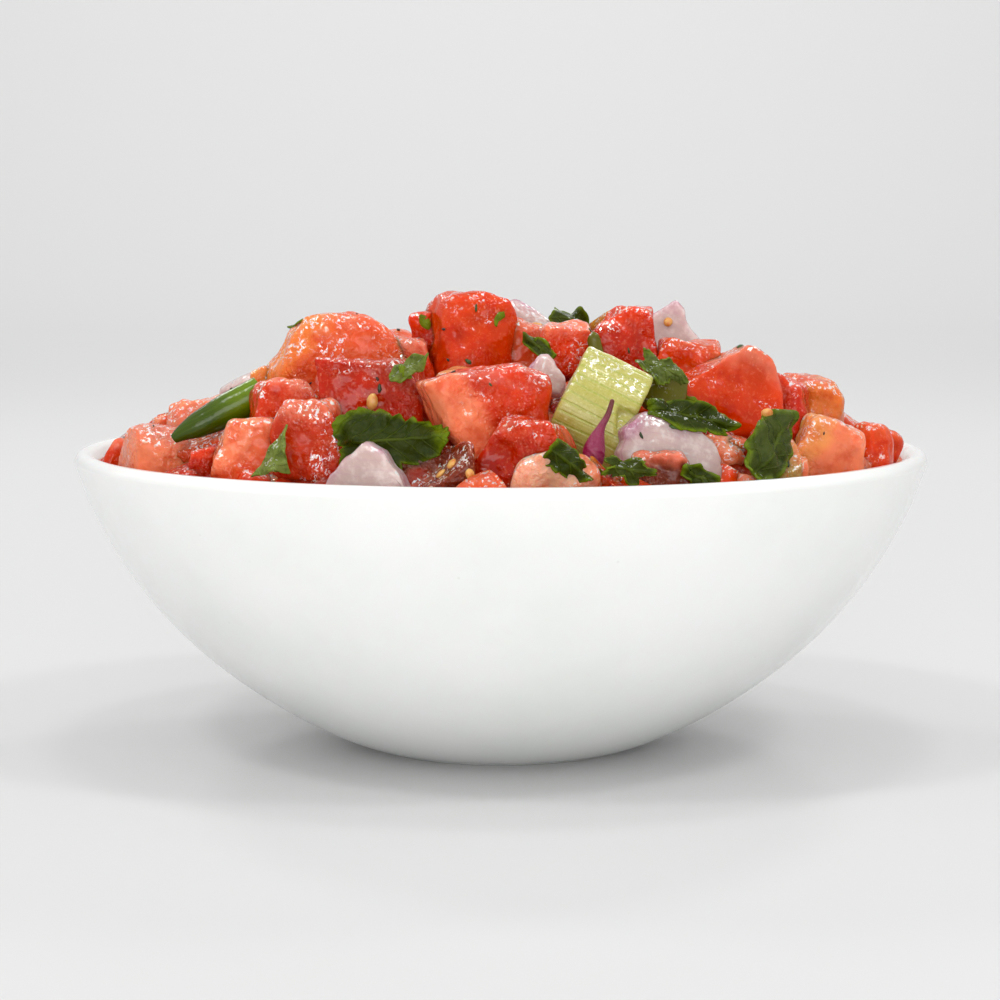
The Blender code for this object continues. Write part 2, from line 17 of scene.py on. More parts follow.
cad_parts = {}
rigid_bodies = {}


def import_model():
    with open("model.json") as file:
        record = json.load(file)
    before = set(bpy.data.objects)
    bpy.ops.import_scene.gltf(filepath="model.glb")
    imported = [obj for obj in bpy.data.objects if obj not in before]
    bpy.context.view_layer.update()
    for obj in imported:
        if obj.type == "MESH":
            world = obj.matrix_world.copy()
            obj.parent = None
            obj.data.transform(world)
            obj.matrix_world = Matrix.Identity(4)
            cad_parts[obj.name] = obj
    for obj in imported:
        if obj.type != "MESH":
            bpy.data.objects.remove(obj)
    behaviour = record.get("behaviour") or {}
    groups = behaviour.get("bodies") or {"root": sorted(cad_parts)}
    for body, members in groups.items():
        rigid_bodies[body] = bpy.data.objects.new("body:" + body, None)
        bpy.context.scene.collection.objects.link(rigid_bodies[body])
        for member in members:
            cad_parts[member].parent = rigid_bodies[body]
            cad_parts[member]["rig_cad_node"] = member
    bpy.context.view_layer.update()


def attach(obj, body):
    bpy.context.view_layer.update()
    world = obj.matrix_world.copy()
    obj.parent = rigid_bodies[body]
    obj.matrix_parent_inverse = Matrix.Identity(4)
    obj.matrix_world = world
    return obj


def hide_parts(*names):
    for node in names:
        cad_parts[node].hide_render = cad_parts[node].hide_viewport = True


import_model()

bl_info = {
    "name": "Salsa in a white bowl",
    "version": (1, 0, 0),
    "blender": (4, 5, 0),
    "location": "3D View > Sidebar > Salsa",
    "description": "Builds a bowl of chopped tomato salsa with onion, celery, pepper and coriander",
    "category": "Add Mesh",
}

MM = 0.001
Place = namedtuple("Place", "x y z turn lean roll")

# The bowl's section, as in its solid.
BOWL_RADIUS = 75.0
BOWL_HEIGHT = 52.5
LIP_ROUNDING = 1.65
LIP_BEAD = 0.25
WALL_START = 21.3
GENTLE_SHARE = 0.712
GENTLE_POWER = 1.424
STEEP_POWER = 6.0
WALL = 2 * LIP_ROUNDING
WALL_EXTRA_AT_FOOT = 1.2
LIP_DRAW = 0.75
FOOT_OUT = 22.8
FOOT_IN = 18.6
FOOT_RECESS = 0.8
FOOT_SHARE = 0.062
LIP_SHARE = 0.97
FOOT_PROFILE = (
    (FOOT_OUT + 0.25, 0.35),
    (FOOT_OUT - 0.15, 0.05),
    (FOOT_OUT - 0.6, 0),
    (FOOT_IN + 0.5, 0),
    (FOOT_IN, 0.1),
    (FOOT_IN - FOOT_RECESS, FOOT_RECESS),
    (0, FOOT_RECESS),
)
WALL_GAP = 0.45

# The pulp and the dice that lie on it.
CORE_PEAK = 14.5
CORE_EDGE = -3.5
CORE_EDGE_RADIUS = 70.0
DOME_POWER = 2.4
HEAP_PEAK = 18.0
FILLERS = 47
FILLER_REACH = 64.5
FILLER_SIZES = (11.0, 16.0)
FILLER_SUNK = (2.5, 5.5)
FILLER_CLEARANCE = 0.36
FILLER_UNDER_TOPPING = 4.5
FILLER_LOWER = {25: 4.0, 38: 3.6, 30: 2.4, 33: 1.5, 17: 1.5}
UNEVENNESS = 0.17
GOLDEN_ANGLE = math.radians(137.508)
FILLER_SEED = 7

# Leaves: how far those at the back are sunk in the slope, how thick one counts when others give way
# to it, how far in front of one a dice no longer gives way, and how thick one is.
LEAF_SUNK = -1.5
LEAF_ROOM = 0.6
LEAF_CLEARANCE = 9.0
LEAF_THICKNESS = 0.32

# Giving way to a flat piece: the share of it that counts as its inside, how far past its edge the
# points of a dice and of another flat piece still give way, and how fast the latter fades.
FLAT_INSIDE = 0.95
PRESS_REACH = 5
SOLID_PRESS_REACH = 2
SOLID_PRESS_EASE = 2.2

# How finely each piece is cut, how much the celery's edge waves, and how near two points of a
# turned shape are when they are one.
WALL_POINTS = 36
LIP_ANGLES = range(118, -16, -8)
DOME_POINTS = 44
PULP_WALL_POINTS = 12
PULP_TURNS = 220
FRONT_CUTS = 19
BACK_CUTS = 14
ONION_CUTS = 25
CELERY_CUTS = 41
PEPPER_CUTS = 17
LEAF_SIDES = 92
LEAF_CUTS = 11
CELERY_WAVE = 0.02
SAME_POINT = 0.001

# Where painted shine and sheen gather: on faces that face up by this much, less on quite flat ones.
FACING_UP = (0.05, 0.8)
FLAT_TOP = (0.8, 0.97)
FLAT_TOP_LESS_SHINE = 0.4
PULP_PAINTED_SHINE = 0.3

# Small bits: how far above the heap a line that looks for them starts, how far it may lean in, and
# how far below the rim and from the axis they may lie.
BIT_START = 40
BIT_LEAN = 1.1
BIT_LOW = 3
BIT_REACH = 70

# Each tomato dice: its place (millimetres, z above the rim, and degrees), its width, depth and
# height, its taper and rounding, its seed, its flesh, and where a second flesh shows: its name and
# the side of the dice that it is on.
TOMATO = {
    "far_left_tip": (
        Place(-64.5, -17.5, -1.0, 10, 0, -20),
        (7, 6, 7), (0.6, 0.16), 1, "red", "pink", (0, 0, 1),
    ),
    "left_front": (
        Place(-55.6, -33.5, 0.8, -15, 5, -6),
        (13.5, 10, 11.5), (0.7, 0.2), 2, "pale", "pink", (0.2, 0, 0.9),
    ),
    "left_sliver": (
        Place(-46.4, -44.0, 0.5, 0, 0, 0),
        (7, 5, 7), (1, 0.16), 3, "deep", "red", (0, 0, 1),
    ),
    "left_round": (
        Place(-39.0, -48.8, 2.4, 8, 8, -4),
        (14.5, 9, 12.5), (0.62, 0.2), 4, "coral", "pale", (-0.6, -0.3, 0.5),
    ),
    "pale_behind_stick": (
        Place(-49.9, -27.0, 5.9, 0, 10, 10),
        (11, 9, 9.5), (0.7, 0.2), 5, "pink", "pale", (0, 0, 1),
    ),
    "wet_small": (
        Place(-34.4, -43.0, 9.2, 12, 5, 8),
        (11, 9, 11.5), (0.7, 0.18), 6, "red", "pink", (0.3, 0, 0.8),
    ),
    "wet_large": (
        Place(-30.1, -51.5, 4.8, -10, 6, 4),
        (12.5, 8, 15), (0.78, 0.22), 7, "red", "pink", (0, -0.1, 0.8),
    ),
    "left_peak": (
        Place(-26.0, -27.0, 15.8, 10, 8, 2),
        (24, 13, 17.5), (0.5, 0.18), 8, "coral", "orange", (-0.9, 0, 0.45),
    ),
    "dark_speckled": (
        Place(-20.5, -45.3, 12.4, 0, 8, 0),
        (16, 9, 10.5), (1, 0.12), 9, "deep", "dark", (0.6, 0, 0.6),
    ),
    "behind_gap": (
        Place(-16.0, -26.0, 15.5, 0, 0, 0),
        (9, 8, 9), (0.9, 0.16), 10, "red", "pink", (0, 0, 1),
    ),
    "pulp_left": (
        Place(-9.3, -62.8, 1.4, 0, 0, 0),
        (12.5, 6, 9), (1, 0.16), 11, "brown", "dark", (-1, 0, 0.3),
    ),
    "cherry": (
        Place(-5.2, -23.0, 19.8, 20, 5, 0),
        (13.8, 14, 16), (0.9, 0.28), 12, "cherry", "cherry", (0, 0, 1),
    ),
    "cherry_side": (
        Place(2.8, -22.0, 18.4, 0, 0, -20),
        (9, 8, 10), (0.9, 0.16), 13, "coral", "pink", (0.5, 0, 0.8),
    ),
    "cherry_left": (
        Place(-12.4, -20.5, 19.6, 0, 0, 10),
        (6, 6, 9), (0.8, 0.25), 27, "deep", "red", (0, 0, 1),
    ),
    "centre": (
        Place(-1.1, -51.5, 9.6, 16, 8, 8),
        (17.5, 11, 14), (1.45, 0.12), 14, "red", "pale", (-1, -0.25, -0.05),
    ),
    "centre_low": (
        Place(4.2, -60.5, 3.2, -12, 5, -12),
        (13.5, 8, 13), (0.62, 0.14), 15, "deep", "red", (0, 0, 1),
    ),
    "front_pale": (
        Place(8.6, -64.6, 0.3, 0, 0, 0),
        (13, 5, 8), (0.8, 0.2), 16, "blush", "pale", (0.6, 0, 0.3),
    ),
    "top_pink": (
        Place(10.8, -27.0, 18.6, 0, 0, 0),
        (8.5, 8, 9), (0.85, 0.2), 17, "red", "pink", (0, 0, 1),
    ),
    "top_red": (
        Place(20.3, -24.0, 18.2, 10, 5, -8),
        (12.5, 11, 15), (1.2, 0.16), 18, "deep", "red", (-0.4, 0, 0.8),
    ),
    "top_right": (
        Place(31.0, -26.0, 15.8, 0, 0, -5),
        (11, 9, 9), (0.9, 0.16), 19, "cherry", "coral", (0, 0, 1),
    ),
    "right_peak": (
        Place(37.6, -32.5, 11.6, 15, 10, -14),
        (17, 12, 16), (0.58, 0.14), 20, "cherry", "pink", (0, -0.1, 0.9),
    ),
    "right_shoulder": (
        Place(45.5, -29.5, 8.6, -10, 10, -12),
        (9, 10, 12), (0.8, 0.18), 21, "deep", "red", (0, 0, 1),
    ),
    "orange_end": (
        Place(51.8, -21.0, 8.6, 10, 5, -12),
        (12.5, 10, 10), (0.8, 0.28), 22, "orange", "coral", (-0.6, 0, 0.5),
    ),
    "peach_right": (
        Place(53.4, -34.2, 1.9, 10, 5, -8),
        (13, 9, 12), (0.68, 0.18), 23, "pale", "peach", (-0.7, -0.2, 0.2),
    ),
    "pulp_right": (
        Place(62.0, -25.0, 1.2, 15, 0, 0),
        (7, 7, 9), (0.8, 0.44), 24, "cherry", "coral", (0, 0, 1),
    ),
    "tan_low": (
        Place(43.8, -47.2, 0.6, 0, 0, 0),
        (8, 7, 9.5), (0.8, 0.2), 25, "tan", "peach", (0.5, 0, 0.8),
    ),
    "brown_low": (
        Place(25.0, -58.4, 0.2, 0, 0, 10),
        (9, 7, 8.5), (0.7, 0.16), 26, "brown", "pink", (0, 0, 1),
    ),
    "crown_left": (
        Place(-8.0, -4.0, 12.5, 20, 0, 0),
        (14, 13, 11), (0.8, 0.16), 28, "red", "pink", (0, 0, 1),
    ),
    "crown_middle": (
        Place(7.5, -10.0, 13.8, -15, 0, 0),
        (15, 13, 12), (0.8, 0.16), 29, "deep", "coral", (0, 0, 1),
    ),
    "crown_right": (
        Place(25.0, -9.0, 12.8, 30, 0, 0),
        (14, 12, 12), (0.8, 0.16), 30, "coral", "pale", (1, 0, 0.6),
    ),
}
# Small pieces of tomato that have no solid of their own, in the same columns.
SMALL_TOMATO = {
    "orange_bit": (
        Place(-39.6, -29.0, 13.6, 0, 0, 20),
        (4, 3.4, 4.4), (0.8, 0.3), 33, "orange", "peach", (0, 0, 1),
    ),
    "pulp_right_lump": (
        Place(65.6, -15.5, 1.0, 0, 0, -10),
        (4.6, 5, 6.5), (0.8, 0.46), 34, "cherry", "coral", (0, 0, 1),
    ),
    "skin_strip": (
        Place(16.6, -66.6, 1.3, 0, 0, -42),
        (8.5, 1.8, 2.0), (1, 0.3), 35, "dark", "deep", (0, 0, 1),
    ),
}
# Slanting cuts of the named dice: the side that each faces and how much of the dice it leaves.
CHOPS = {
    "left_peak": ((-0.66, 0, 0.75, 0.73), (0.62, 0, 0.78, 0.58), (0.2, -0.8, 0.6, 0.8)),
    "wet_large": ((-0.7, -0.2, 0.7, 0.72), (0.7, -0.2, 0.7, 0.74)),
    "wet_small": ((0.6, -0.3, 0.8, 0.76), (-0.7, -0.2, 0.7, 0.8)),
    "left_round": ((-0.7, 0, 0.7, 0.7), (0.7, -0.3, 0.7, 0.7)),
    "left_front": ((0.7, -0.2, 0.7, 0.72), (-0.75, -0.3, 0.6, 0.78), (0, -0.7, 0.7, 0.8)),
    "centre_low": ((0.8, -0.1, 0.6, 0.7), (-0.6, -0.5, 0.6, 0.82)),
    "top_red": ((-0.7, -0.2, 0.7, 0.78), (0.6, -0.4, 0.7, 0.8), (0.98, -0.1, 0.15, 0.64)),
    "right_peak": ((0.72, 0, 0.7, 0.68), (-0.68, -0.1, 0.72, 0.5)),
    "orange_end": ((0.7, -0.2, 0.75, 0.72),),
    "peach_right": ((-0.75, -0.2, 0.65, 0.74), (0.7, -0.3, 0.7, 0.74)),
    "cherry": ((0.5, -0.8, 0.2, 0.86), (-0.62, -0.1, 0.78, 0.76), (0.6, -0.1, 0.78, 0.76)),
    "dark_speckled": ((0.6, -0.3, 0.7, 0.8),),
}
FILLER_FLESH = (
    ("red", "pink"),
    ("coral", "pale"),
    ("deep", "red"),
    ("coral", "peach"),
    ("cherry", "coral"),
    ("pink", "pale"),
)

# Each onion piece: its place, its width, thickness and height, how far it bulges, and its seed.
ONION = {
    "onion_front_left": (Place(-20.9, -62.4, 0.4, -18, 4, 0), (16.5, 3.6, 10.5), 2.4, 41),
    "onion_front_right": (Place(27.2, -56.4, 4.2, 22, 12, -14), (18.5, 3.8, 10.5), 2.6, 42),
    "onion_top_left": (Place(5.6, -15.5, 21.2, 0, 20, -24), (14, 4.6, 8), 1.2, 43),
    "onion_top_right": (Place(30.0, -12.5, 20.0, 10, 15, -38), (12, 4.6, 10), 1.4, 44),
    "onion_by_celery": (Place(7.6, -42.5, 15.2, 10, 20, -20), (7, 3.2, 6.5), 0.8, 45),
}

# How high each onion piece stands from its left end to its right end, as shares of its height.
CREST = {
    "onion_front_left": (0.2, 0.62, 0.86, 1.06, 0.98, 0.7, 0.3),
    "onion_front_right": (0.9, 1.04, 1.0, 0.97, 0.92, 0.84, 0.6),
    "onion_top_left": (1.0, 1.02, 0.95, 0.86, 0.8, 0.7, 0.62),
    "onion_top_right": (0.7, 1.05, 1.0, 0.8, 0.74, 0.7, 0.6),
    "onion_by_celery": (0.8, 1.0, 1.0, 0.9, 0.7, 0.6, 0.5),
}

# Each coriander leaf: its place, its length and width, its folds and its seed.
LEAF = {
    "leaf_left_pointed": (Place(-35.2, -58.4, 3.4, -14, 16, 66), (12.5, 6.5), 0.8, 61),
    "leaf_left_serrated": (Place(-18.2, -59.6, 5.8, -10, 22, 8), (21.5, 13.5), 2.1, 62),
    "leaf_strip": (Place(-14.6, -50.8, 16.8, 0, 40, 38), (7.4, 3.4), 0.3, 63),
    "leaf_top": (Place(11.6, -15.0, 22.6, 0, 35, 0), (7, 5), 0.4, 64),
    "leaf_by_onion": (Place(6.2, -34.2, 19.4, 0, 30, -38), (6.5, 2.8), 0.3, 65),
    "leaf_right_curled": (Place(25.6, -46.8, 16.6, 14, 30, -40), (10, 5.5), 0.9, 66),
    "leaf_right_long": (Place(29.9, -54.0, 9.3, 26, 20, -14), (17, 6), 0.8, 67),
    "leaf_right_folded": (Place(43.0, -52.4, 4.6, 38, 14, 44), (14.5, 9.5), 1.5, 68),
    "leaf_front_dark": (Place(10.2, -67.2, 3.4, 8, 16, -36), (9.5, 5.4), 0.8, 69),
    "leaf_front_curly": (Place(19.4, -66.0, 2.2, 16, 20, -8), (10, 4.6), 0.7, 70),
    "leaf_front_right": (Place(30.6, -61.2, 0.6, 26, 20, -24), (7, 3.4), 0.3, 71),
}

# What lies on the sides and the back: the bearing from +X in degrees, the distance from the axis
# in millimetres, the roll, and the sizes and seed as above.
BACK_ONION = {
    "onion_back_1": (22, 46, 15, (13, 4, 9), 1.6, 51),
    "onion_back_2": (62, 58, -20, (15, 3.8, 9), 2.0, 52),
    "onion_back_3": (98, 33, 35, (12, 4.2, 8), 1.2, 53),
    "onion_back_4": (128, 55, 5, (14, 4, 10), 1.8, 54),
    "onion_back_5": (172, 45, -30, (12, 4, 9), 1.4, 55),
}
BACK_LEAF = {
    "leaf_back_1": (38, 58, 20, (15, 9), 1.1, 81),
    "leaf_back_2": (80, 47, -30, (17, 9), 1.2, 82),
    "leaf_back_3": (112, 61, 10, (12, 7), 0.9, 83),
    "leaf_back_4": (150, 38, 50, (14, 6), 0.9, 84),
    "leaf_back_5": (160, 60, -15, (13, 8), 1.0, 85),
}
BACK_CELERY = {"celery_back": (104, 50, 20, (12, 5, 12), 2.4, 31)}
BACK_PEPPER = {"pepper_back": (48, 40, -10, (10, 2.6, 8), 1.2, 92)}

# The celery and pepper at the front, in the same columns as the onion.
CELERY = {"celery_front": (Place(15.3, -52.6, 10.4, 4, 12, -27), (11.8, 5.2, 18.0), 3.8, 31)}
PEPPER = {
    "pepper_front": (Place(26.4, -43.4, 12.6, 15, 20, -20), (7.5, 2.6, 8), 1.0, 91),
    "pepper_strip": (Place(15.6, -31.8, 18.6, 0, 12, 12), (2.6, 2.4, 6.5), 0.3, 93),
}

# The bent round pieces: the stops of their middle line, each with its radius.
STICK = (
    ((-53.0, -40.8, 4.6), 0.7),
    ((-51.2, -40.6, 5.8), 1.5),
    ((-48.4, -40.2, 7.2), 2.2),
    ((-44.0, -39.4, 9.4), 2.7),
    ((-38.6, -38.2, 12.2), 2.9),
)
ONION_TIP = (
    ((14.4, -63.6, 1.6), 0.7),
    ((14.3, -63.4, 3.0), 1.4),
    ((14.3, -63.2, 4.8), 1.7),
    ((14.7, -63.0, 6.6), 1.25),
    ((15.4, -62.8, 8.4), 0.65),
    ((16.5, -62.4, 10.4), 0.45),
    ((17.2, -62.0, 12.6), 0.35),
)

# How each leaf is cut: its lobes, how deep they are, its teeth and how pale it is.
LEAF_CUT = {
    "leaf_left_pointed": (3, 0.62, 0, 0.75),
    "leaf_left_serrated": (3, 0.3, 24, 0.0),
    "leaf_strip": (2, 0.1, 0, 0.55),
    "leaf_right_curled": (5, 0.4, 20, 0.35),
    "leaf_right_long": (7, 0.1, 9, 0.0),
    "leaf_right_folded": (2, 0.12, 0, 0.1),
    "leaf_front_dark": (3, 0.24, 12, 0.0),
    "leaf_front_curly": (5, 0.46, 15, 0.1),
    "leaf_top": (2, 0.05, 0, 0.05),
    "leaf_by_onion": (2, 0.1, 0, 0.1),
    "leaf_front_right": (2, 0.1, 0, 0.05),
}
LEAF_CUT_ELSE = (5, 0.32, 20, 0.08)

# The bits that are strewn over the heap: the seeds of the draws for their places and for their
# turns, their least and greatest size in millimetres, their shape and how far they stand out.
Bits = namedtuple("Bits", "places turns sizes shape lift")
BITS = {
    "tomato_bits": Bits(14, 25, (3.2, 7.0), (1.15, 1.0, 0.8), 0.02),
    "seeds": Bits(11, 21, (1.5, 2.1), (1.2, 0.9, 0.5), 0.05),
    "specks": Bits(12, 22, (0.3, 0.75), (1.4, 0.8, 0.6), 0.1),
    "herb_crumbs": Bits(13, 23, (0.4, 1.1), (1.5, 0.7, 0.3), 0.08),
    "herb_bits": Bits(None, 24, (2.4, 3.6), (1.0, 0.5, 0.5), 0.04),
}
BIT_FLESH = ("red", "coral", "deep", "pink", "cherry", "pale")
PULP_SURFACE = 0.02

# Where single seeds and herb bits lie in the picture, in pixels from its left and top.
SEED_SPOTS = ((668, 322), (767, 413), (372, 402), (452, 464), (470, 474), (441, 474))
HERB_SPOTS = (
    *((425, 322), (500, 318), (296, 324), (542, 343)),
    *((405, 372), (560, 312), (690, 398), (600, 470)),
)

# Each lamp: where it stands in metres, its size, the setting that holds its power and its aim.
LAMP_AIM = (0, 0, 0.05)
LAMPS = {
    "key": ((-0.4, -0.42, 0.85), 0.15, "key_power", LAMP_AIM),
    "fill": ((0.44, -0.38, 0.8), 0.15, "fill_power", LAMP_AIM),
    "top": ((0.04, -0.1, 1.0), 0.16, "back_power", LAMP_AIM),
    "back_left": ((-0.42, 0.6, 0.62), 0.16, "back_power", LAMP_AIM),
    "back_right": ((0.36, 0.66, 0.66), 0.16, "back_power", LAMP_AIM),
    "front": ((0, -1.2, 0.08), 0.9, "front_power", LAMP_AIM),
    "backdrop": ((0, 1.2, 1.5), 0.6, "backdrop_power", (0, 2.6, 0.3)),
}

# The floor in millimetres: half its side, how far it moves to the front, the radius of the sweep at
# its back and the height of the wall above the sweep.
FLOOR_HALF = 3000
FLOOR_FORWARD = 1500
SWEEP_RADIUS = 900
SWEEP_STEPS = 20
WALL_HEIGHT = 2500

# The camera: how far it stands from the bowl's axis, how far it looks down, its framing, and the
# width and height of the picture in pixels.
VIEW_DISTANCE = 500.0
VIEW_FALL = math.radians(5.11)
VIEW_LEVEL = 50.87
VIEW_LENS = 102.24
VIEW_SENSOR = 36.0
VIEW_SHIFT = (-0.001, -0.0445)
PICTURE = 1000


def paint(red, green, blue):
    """A linear colour from one given as the eye sees it, 0 to 255."""
    shares = (value / 255 for value in (red, green, blue))
    return tuple(s / 12.92 if s <= 0.04045 else ((s + 0.055) / 1.055) ** 2.4 for s in shares)


def blended(one, two, share):
    """A colour part of the way from one to two."""
    return tuple(a + (b - a) * share for a, b in zip(one, two))


def ramp(value, low, high):
    """0 below low, 1 above high, and a smooth step between."""
    share = min(max((value - low) / (high - low), 0), 1)
    return share * share * (3 - 2 * share)


def colour_choice(name, description, colour):
    """A colour that the user may change."""
    return bpy.props.FloatVectorProperty(
        name=name, description=description, default=colour, subtype="COLOR", size=3, min=0, max=1
    )


def amount(name, description, default, low=0.0, high=1.0):
    """A share or count without a unit that the user may change."""
    return bpy.props.FloatProperty(
        name=name, description=description, default=default, min=low, max=high, subtype="FACTOR"
    )


def length(name, description, default):
    """A length that the user may change, in metres."""
    return bpy.props.FloatProperty(
        name=name, description=description, default=default, min=0, unit="LENGTH", precision=5
    )


def count(name, description, default):
    """A whole number that the user may change."""
    return bpy.props.IntProperty(name=name, description=description, default=default, min=0)


class SALSA_PG_bowl(bpy.types.PropertyGroup):
    glaze: colour_choice("Glaze", "Colour of the white glaze", paint(243, 244, 242))
    glaze_shade: colour_choice("Glaze shade", "The glaze where it lies thick", paint(232, 236, 232))
    juice: colour_choice("Juice", "Juice left on the inner wall", paint(226, 150, 132))
    turns: count("Facets round", "How many facets the bowl has round its axis", 256)
    roughness: amount("Glaze roughness", "How dull the glaze is", 0.16)


class SALSA_PG_tomato(bpy.types.PropertyGroup):
    red: colour_choice("Red flesh", "Flesh under the skin", paint(202, 52, 4))
    deep: colour_choice("Deep flesh", "Flesh in the lower pieces", paint(178, 34, 0))
    coral: colour_choice("Coral flesh", "Flesh of the lighter pieces", paint(216, 85, 36))
    pink: colour_choice("Pink flesh", "Cut flesh that faces up", paint(220, 117, 88))
    pale: colour_choice("Pale flesh", "Flesh near the core", paint(234, 132, 92))
    peach: colour_choice("Peach flesh", "Core flesh", paint(224, 148, 82))
    blush: colour_choice("Blush flesh", "Watery flesh next to the core", paint(240, 176, 146))
    cherry: colour_choice("Cherry skin", "Skin of the orange-red pieces", paint(214, 62, 0))
    orange: colour_choice("Orange skin", "Skin of the ripest end", paint(222, 120, 46))
    dark: colour_choice("Dark flesh", "Flesh of the darkest pieces", paint(160, 44, 20))
    brown: colour_choice("Brown flesh", "Soft pulp at the front", paint(118, 42, 16))
    tan: colour_choice("Tan flesh", "Pale green core flesh", paint(180, 146, 74))
    pulp: colour_choice("Pulp", "Wet pulp under the pieces", paint(128, 22, 6))
    bulge: length("Unevenness", "How far the cut faces wave", 0.82 * MM)
    softness: amount("Softness", "How much rounder the edges are than a clean cut", 0.92, 0, 3)
    chop: amount("Corner chop", "How deep the slanting cuts across the corners go", 0.34)
    dish: length("Dishing", "How far the middle of a cut face sinks or swells", 0.5 * MM)
    roughness: amount("Dullness", "How dull the wet flesh is", 0.08)


class SALSA_PG_onion(bpy.types.PropertyGroup):
    flesh: colour_choice("Flesh", "Colour of the onion's flesh", paint(192, 168, 162))
    vein: colour_choice("Veins", "Colour of its fine lines", paint(186, 150, 160))
    edge: colour_choice("Purple edge", "Colour of its purple edge", paint(150, 78, 118))
    tip: colour_choice("Tip", "Colour of the purple tip", paint(132, 20, 66))
    tail: colour_choice("Tail", "Colour of its dry tail", paint(96, 30, 26))


class SALSA_PG_greens(bpy.types.PropertyGroup):
    leaf: colour_choice("Leaf", "Upper side of a coriander leaf", paint(44, 54, 0))
    leaf_edge: colour_choice("Leaf edge", "Its cut edge and teeth", paint(104, 124, 4))
    leaf_pale: colour_choice("Leaf back", "Its pale underside", paint(132, 146, 72))
    stick: colour_choice("Spring onion", "Green of the spring onion", paint(56, 76, 0))
    stick_end: colour_choice("Spring onion end", "Its yellow-green end", paint(112, 140, 10))
    celery: colour_choice("Celery", "Flesh of the celery", paint(180, 174, 88))
    celery_rib: colour_choice("Celery rib", "Its green lines", paint(150, 164, 48))
    # Painted shade: the tan of the celery's lower side.
    celery_painted_shade: colour_choice("Celery shade", "Its tan lower side", paint(164, 138, 62))
    pepper: colour_choice("Pepper", "Skin of the green pepper", paint(94, 90, 12))
    pepper_light: colour_choice("Pepper flesh", "Flesh of the green pepper", paint(128, 124, 40))


class SALSA_PG_bits(bpy.types.PropertyGroup):
    seed: colour_choice("Seed", "Colour of a tomato seed", paint(222, 170, 92))
    speck: colour_choice("Pepper speck", "Colour of a speck of black pepper", paint(34, 22, 14))
    herb: colour_choice("Herb bit", "Colour of a crumb of herb", paint(58, 88, 20))
    crumbs: count("Tomato bits", "How many places are tried for a small bit of tomato", 900)
    seeds: count("Seeds", "How many tomato seeds lie on the heap", 12)
    specks: count("Specks", "How many specks of pepper lie on the heap", 150)
    herbs: count("Herb bits", "How many crumbs of herb lie on the heap", 90)


class SALSA_PG_stage(bpy.types.PropertyGroup):
    floor: colour_choice("Floor", "Colour of the floor", paint(212, 212, 212))
    air: colour_choice("Air", "Light from all round", (1.0, 1.0, 1.0))
    air_strength: amount("Air strength", "How strong the light from all round is", 0.8, 0, 5)
    key_power: amount("Key power", "Watts of the light from the left", 1.45, 0, 100)
    fill_power: amount("Fill power", "Watts of the light from the right", 1.25, 0, 100)
    back_power: amount("Back power", "Watts of each light above and behind", 0.85, 0, 100)
    front_power: amount("Front power", "Watts of the wide low light behind the camera", 7.2, 0, 100)
    backdrop_power: amount("Backdrop power", "Watts of the light on the backdrop", 9.5, 0, 100)


class Wire:
    """A socket's value, in expressions that add their own Math nodes."""

    def __init__(self, finish, socket):
        self.finish = finish
        self.socket = socket

    def worked(self, operation, *values):
        inputs = dict(enumerate(values))
        return self.finish.node("ShaderNodeMath", {"operation": operation}, inputs)

    def __add__(self, other):
        return self.worked("ADD", self, other)

    def __radd__(self, other):
        return self.worked("ADD", other, self)

    def __sub__(self, other):
        return self.worked("SUBTRACT", self, other)

    def __rsub__(self, other):
        return self.worked("SUBTRACT", other, self)

    def __mul__(self, other):
        return self.worked("MULTIPLY", self, other)

    def __rmul__(self, other):
        return self.worked("MULTIPLY", other, self)

    def __truediv__(self, other):
        return self.worked("DIVIDE", self, other)

    def __pow__(self, other):
        return self.worked("POWER", self, other)

    def __abs__(self):
        return self.worked("ABSOLUTE", self)

    def sine(self):
        return self.worked("SINE", self)

    def larger(self, other):
        return self.worked("MAXIMUM", self, other)


